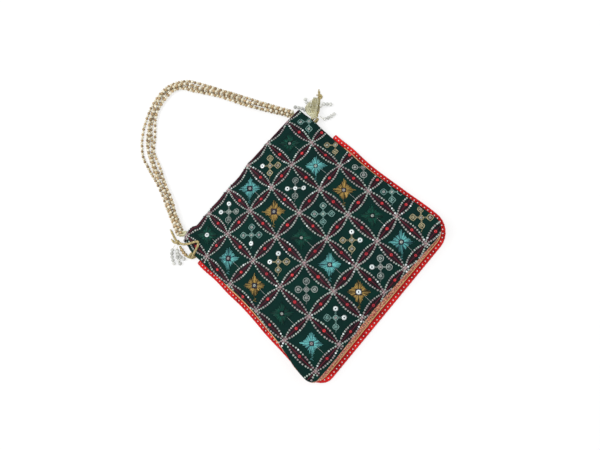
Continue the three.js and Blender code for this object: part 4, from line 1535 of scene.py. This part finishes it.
def makeGusset():
    stations = rimStations(0.0025)
    shares = [i / 10 for i in range(11)]
    points, places = [], []
    run = 0.0
    for j, station in enumerate(stations):
        if j:
            run += (gussetPoint(station, 0.5) - gussetPoint(stations[j - 1], 0.5)).length
        slack = opened(rimY(station), station["side"])
        for share in shares:
            fold = math.sin(run * 210 + 1.3 * math.sin(run * 47) + share * 2.2)
            fold *= math.sin(math.pi * share) ** 0.7 * edging["bandFold"] * slack
            points.append(gussetPoint(station, share, fold))
            places.append((run, share * edging["bandHeight"]))
    pile = newPile()
    addTo(pile, points, [(a, d, c, b) for a, b, c, d in gridFaces(len(stations), len(shares))], places=places)
    thicken(makePiece("gussetBand", pile, ["brocade"], ["gusset_band"]), edging["bandThickness"])
    braid = newPile()
    line = [gussetPoint(s, edging["braidAt"], 0.0005) for s in stations if opened(rimY(s), s["side"]) > 0.5]
    addTwisted(braid, line, edging["braidDiameter"], edging["braidPitch"], 2)
    makePiece("gussetBraid", braid, ["braid"])


def makeLace():
    pile = newPile()
    stations = rimStations(short=-0.0005)
    pitch, width, thread = edging["lacePitch"], edging["laceWidth"], edging["laceThread"]

    def looseTop(station):  # at the top of the left side it stands out a little
        return edging["laceLoose"] * smooth(rimY(station), 0.03, 0.07) if station["side"] < 0 else 0

    def lift(station):
        middle = backEdgeZ(rimY(station), station["side"]) + bag["cloth"] / 2
        return max(middle, thread + 0.0003)
    gaps = [edging["laceGap"] - edging["laceTuck"] * sagAt(s) + looseTop(s) for s in stations]
    inner = [rimPoint(back, s, gap, lift(s)) for s, gap in zip(stations, gaps)]
    outer = [rimPoint(back, s, gap + width, lift(s)) for s, gap in zip(stations, gaps)]
    for offset in edging["laceLines"]:
        header = [a.lerp(b, offset) for a, b in zip(inner, outer)]
        addTube(pile, [p for p, d in evenly(header, 0.0015)], thread * 0.7, tint=0.4)
    middles = [a.lerp(b, edging["ringsAt"]) for a, b in zip(inner, outer)]
    across = [(b - a).normalized() for a, b in zip(inner, outer)]
    lengths = lengthsAlong(middles)
    count = round(lengths[-1] / pitch)
    for k in range(count):
        length = lengths[-1] * (k + 0.5) / count
        place, direction = placeAt(middles, lengths, length)
        i = clamp(bisect_right(lengths, length) - 1, 0, len(across) - 2)
        out = across[i].lerp(across[i + 1], 0.5).normalized()
        ring = []
        for angle in [math.tau * m / 14 for m in range(15)]:
            wave = upward * (0.0002 * math.cos(3 * angle))
            ring.append(around(place, direction, out, angle, pitch * edging["ringLength"],
                               width * edging["ringWidth"]) + wave)
        addTube(pile, ring, thread, tint=clamp(chance.gauss(0.5, 0.2), 0, 1))
        for m in (-1, 0, 1):  # picots on the outer edge
            angle = math.pi / 2 + m * edging["picotSpread"]
            bud = around(place, direction, out, angle, pitch * 0.5, width * 0.5)
            addBead(pile, bud, out, edging["picot"], 0, 0.8, 6)
    makePiece("ringLace", pile, ["lace"], ["scallop_trim"])


lining = {
    "inset": 0.008,
    "bottomInset": 0.005,
    "slack": 0.0009,
    "ripple": 0.0004,
    "thickness": 0.0004,
    "columns": 40,
    "rows": 44,
}


def makeLining():  # one bag of satin: up the front, round the sides, open at the top
    topY = bag["hemEndY"] - bag["clearance"]
    lowY = bag["frontBottomY"] + lining["bottomInset"]
    inner = {"bottomY": lowY, "slumps": False}
    rows = [lowY + bag["cornerRadius"] * (1 - math.cos(math.radians(t))) for t in range(12, 91, 13)]
    rows += [mix(rows[-1], topY, i / lining["rows"]) for i in range(1, lining["rows"] + 1)]
    columns = lining["columns"]

    def place(panel, x, y):
        share = x / (panel["width"](y) - cornerCut(panel, x, y))
        ripple = lining["ripple"] * math.sin(x * 190 + y * 70) * smooth(-y, -0.06, 0.02)
        depth = bag["cloth"] + lining["slack"] + ripple
        return planPoint(panel, x, y, panel["z"](share, y) + panel["inward"] * depth)
    points, places = [], []
    for y in rows:
        half = halfWidth(y) - lining["inset"] - cornerCut(inner, 1, y)
        for panel, order in ((front, 1), (back, -1)):
            for i in range(columns + 1):
                x = order * (2 * i / columns - 1) * half
                points.append(place(panel, x, y))
                places.append((x, y))
    ring = 2 * (columns + 1)
    bottomSeam = [(i, ring - 1 - i, ring - 2 - i, i + 1) for i in range(columns)]
    pile = newPile()
    addTo(pile, points, gridFaces(len(rows), ring, True) + bottomSeam, places=places)
    pouch = makePiece("liningPouch", pile, ["satin"], ["lining_pouch"])
    thicken(pouch, lining["thickness"], 0)


makeGusset()
makeLace()
makeLining()
print("gusset, lace and lining made")


# Floor and light
stage = {
    "floor": paint(244, 244, 244),
    "floorReach": 3.0,
    "whiteShare": 0.72,  # how much of the camera's floor is plain white, the rest takes the shadow
    "keyPlace": (-0.5, 0.55, 1.1),
    "keySize": 0.9,
    "keyPower": 11.0,
    "fillPlace": (0.8, -0.4, 0.9),
    "fillSize": 1.4,
    "fillPower": 5.0,
    "lampAim": Vector((0, 0.02, 0)),
    "worldStrength": 0.62,
}
white = (1, 1, 1, 1)


def makeFloor():
    reach = stage["floorReach"]
    mesh = bpy.data.meshes.new("floor")
    corners = [(-reach, -reach, 0), (reach, -reach, 0), (reach, reach, 0), (-reach, reach, 0)]
    mesh.from_pydata(corners, [], [(0, 1, 2, 3)])
    floor = addObject("floor", mesh)
    finish, tree, shader = newFinish("paleFloor", Base_Color=stage["floor"], Roughness=0.9)
    glow = node(tree, "ShaderNodeEmission", Color=white, Strength=1.0)
    path = node(tree, "ShaderNodeLightPath").outputs
    seen = math2(tree, "MAXIMUM", path["Is Camera Ray"], path["Is Glossy Ray"])
    seen = math2(tree, "MAXIMUM", seen, path["Is Transmission Ray"])
    blend = node(tree, "ShaderNodeMixShader")
    surface = [n for n in tree.nodes if n.type == "OUTPUT_MATERIAL"][0]
    wire(tree, (math2(tree, "MULTIPLY", seen, stage["whiteShare"]), blend.inputs[0]),
         (shader.outputs[0], blend.inputs[1]), (glow.outputs[0], blend.inputs[2]),
         (blend.outputs[0], surface.inputs["Surface"]))
    mesh.materials.append(finish)


def makeLights():
    for label in ("key", "fill"):
        lamp = bpy.data.lights.new(label, "AREA")
        lamp.shape = "DISK"
        lamp.size = stage[label + "Size"]
        lamp.energy = stage[label + "Power"]
        holder = addObject(label, lamp)
        holder.location = stage[label + "Place"]
        holder.rotation_euler = (stage["lampAim"] - holder.location).to_track_quat("-Z", "Y").to_euler()
    world = bpy.data.worlds.new("studio")
    bpy.context.scene.world = world
    world.use_nodes = True
    tree = world.node_tree
    tree.nodes.clear()
    light = node(tree, "ShaderNodeBackground", Color=white, Strength=stage["worldStrength"])
    backdrop = node(tree, "ShaderNodeBackground", Color=white)
    rays = node(tree, "ShaderNodeLightPath")
    both = node(tree, "ShaderNodeMixShader")
    out = node(tree, "ShaderNodeOutputWorld")
    wire(tree, (rays.outputs["Is Camera Ray"], both.inputs[0]), (light.outputs[0], both.inputs[1]),
         (backdrop.outputs[0], both.inputs[2]), (both.outputs[0], out.inputs["Surface"]))
    bpy.context.scene.view_settings.view_transform = "Standard"


makeFloor()
makeLights()
print("stage made")
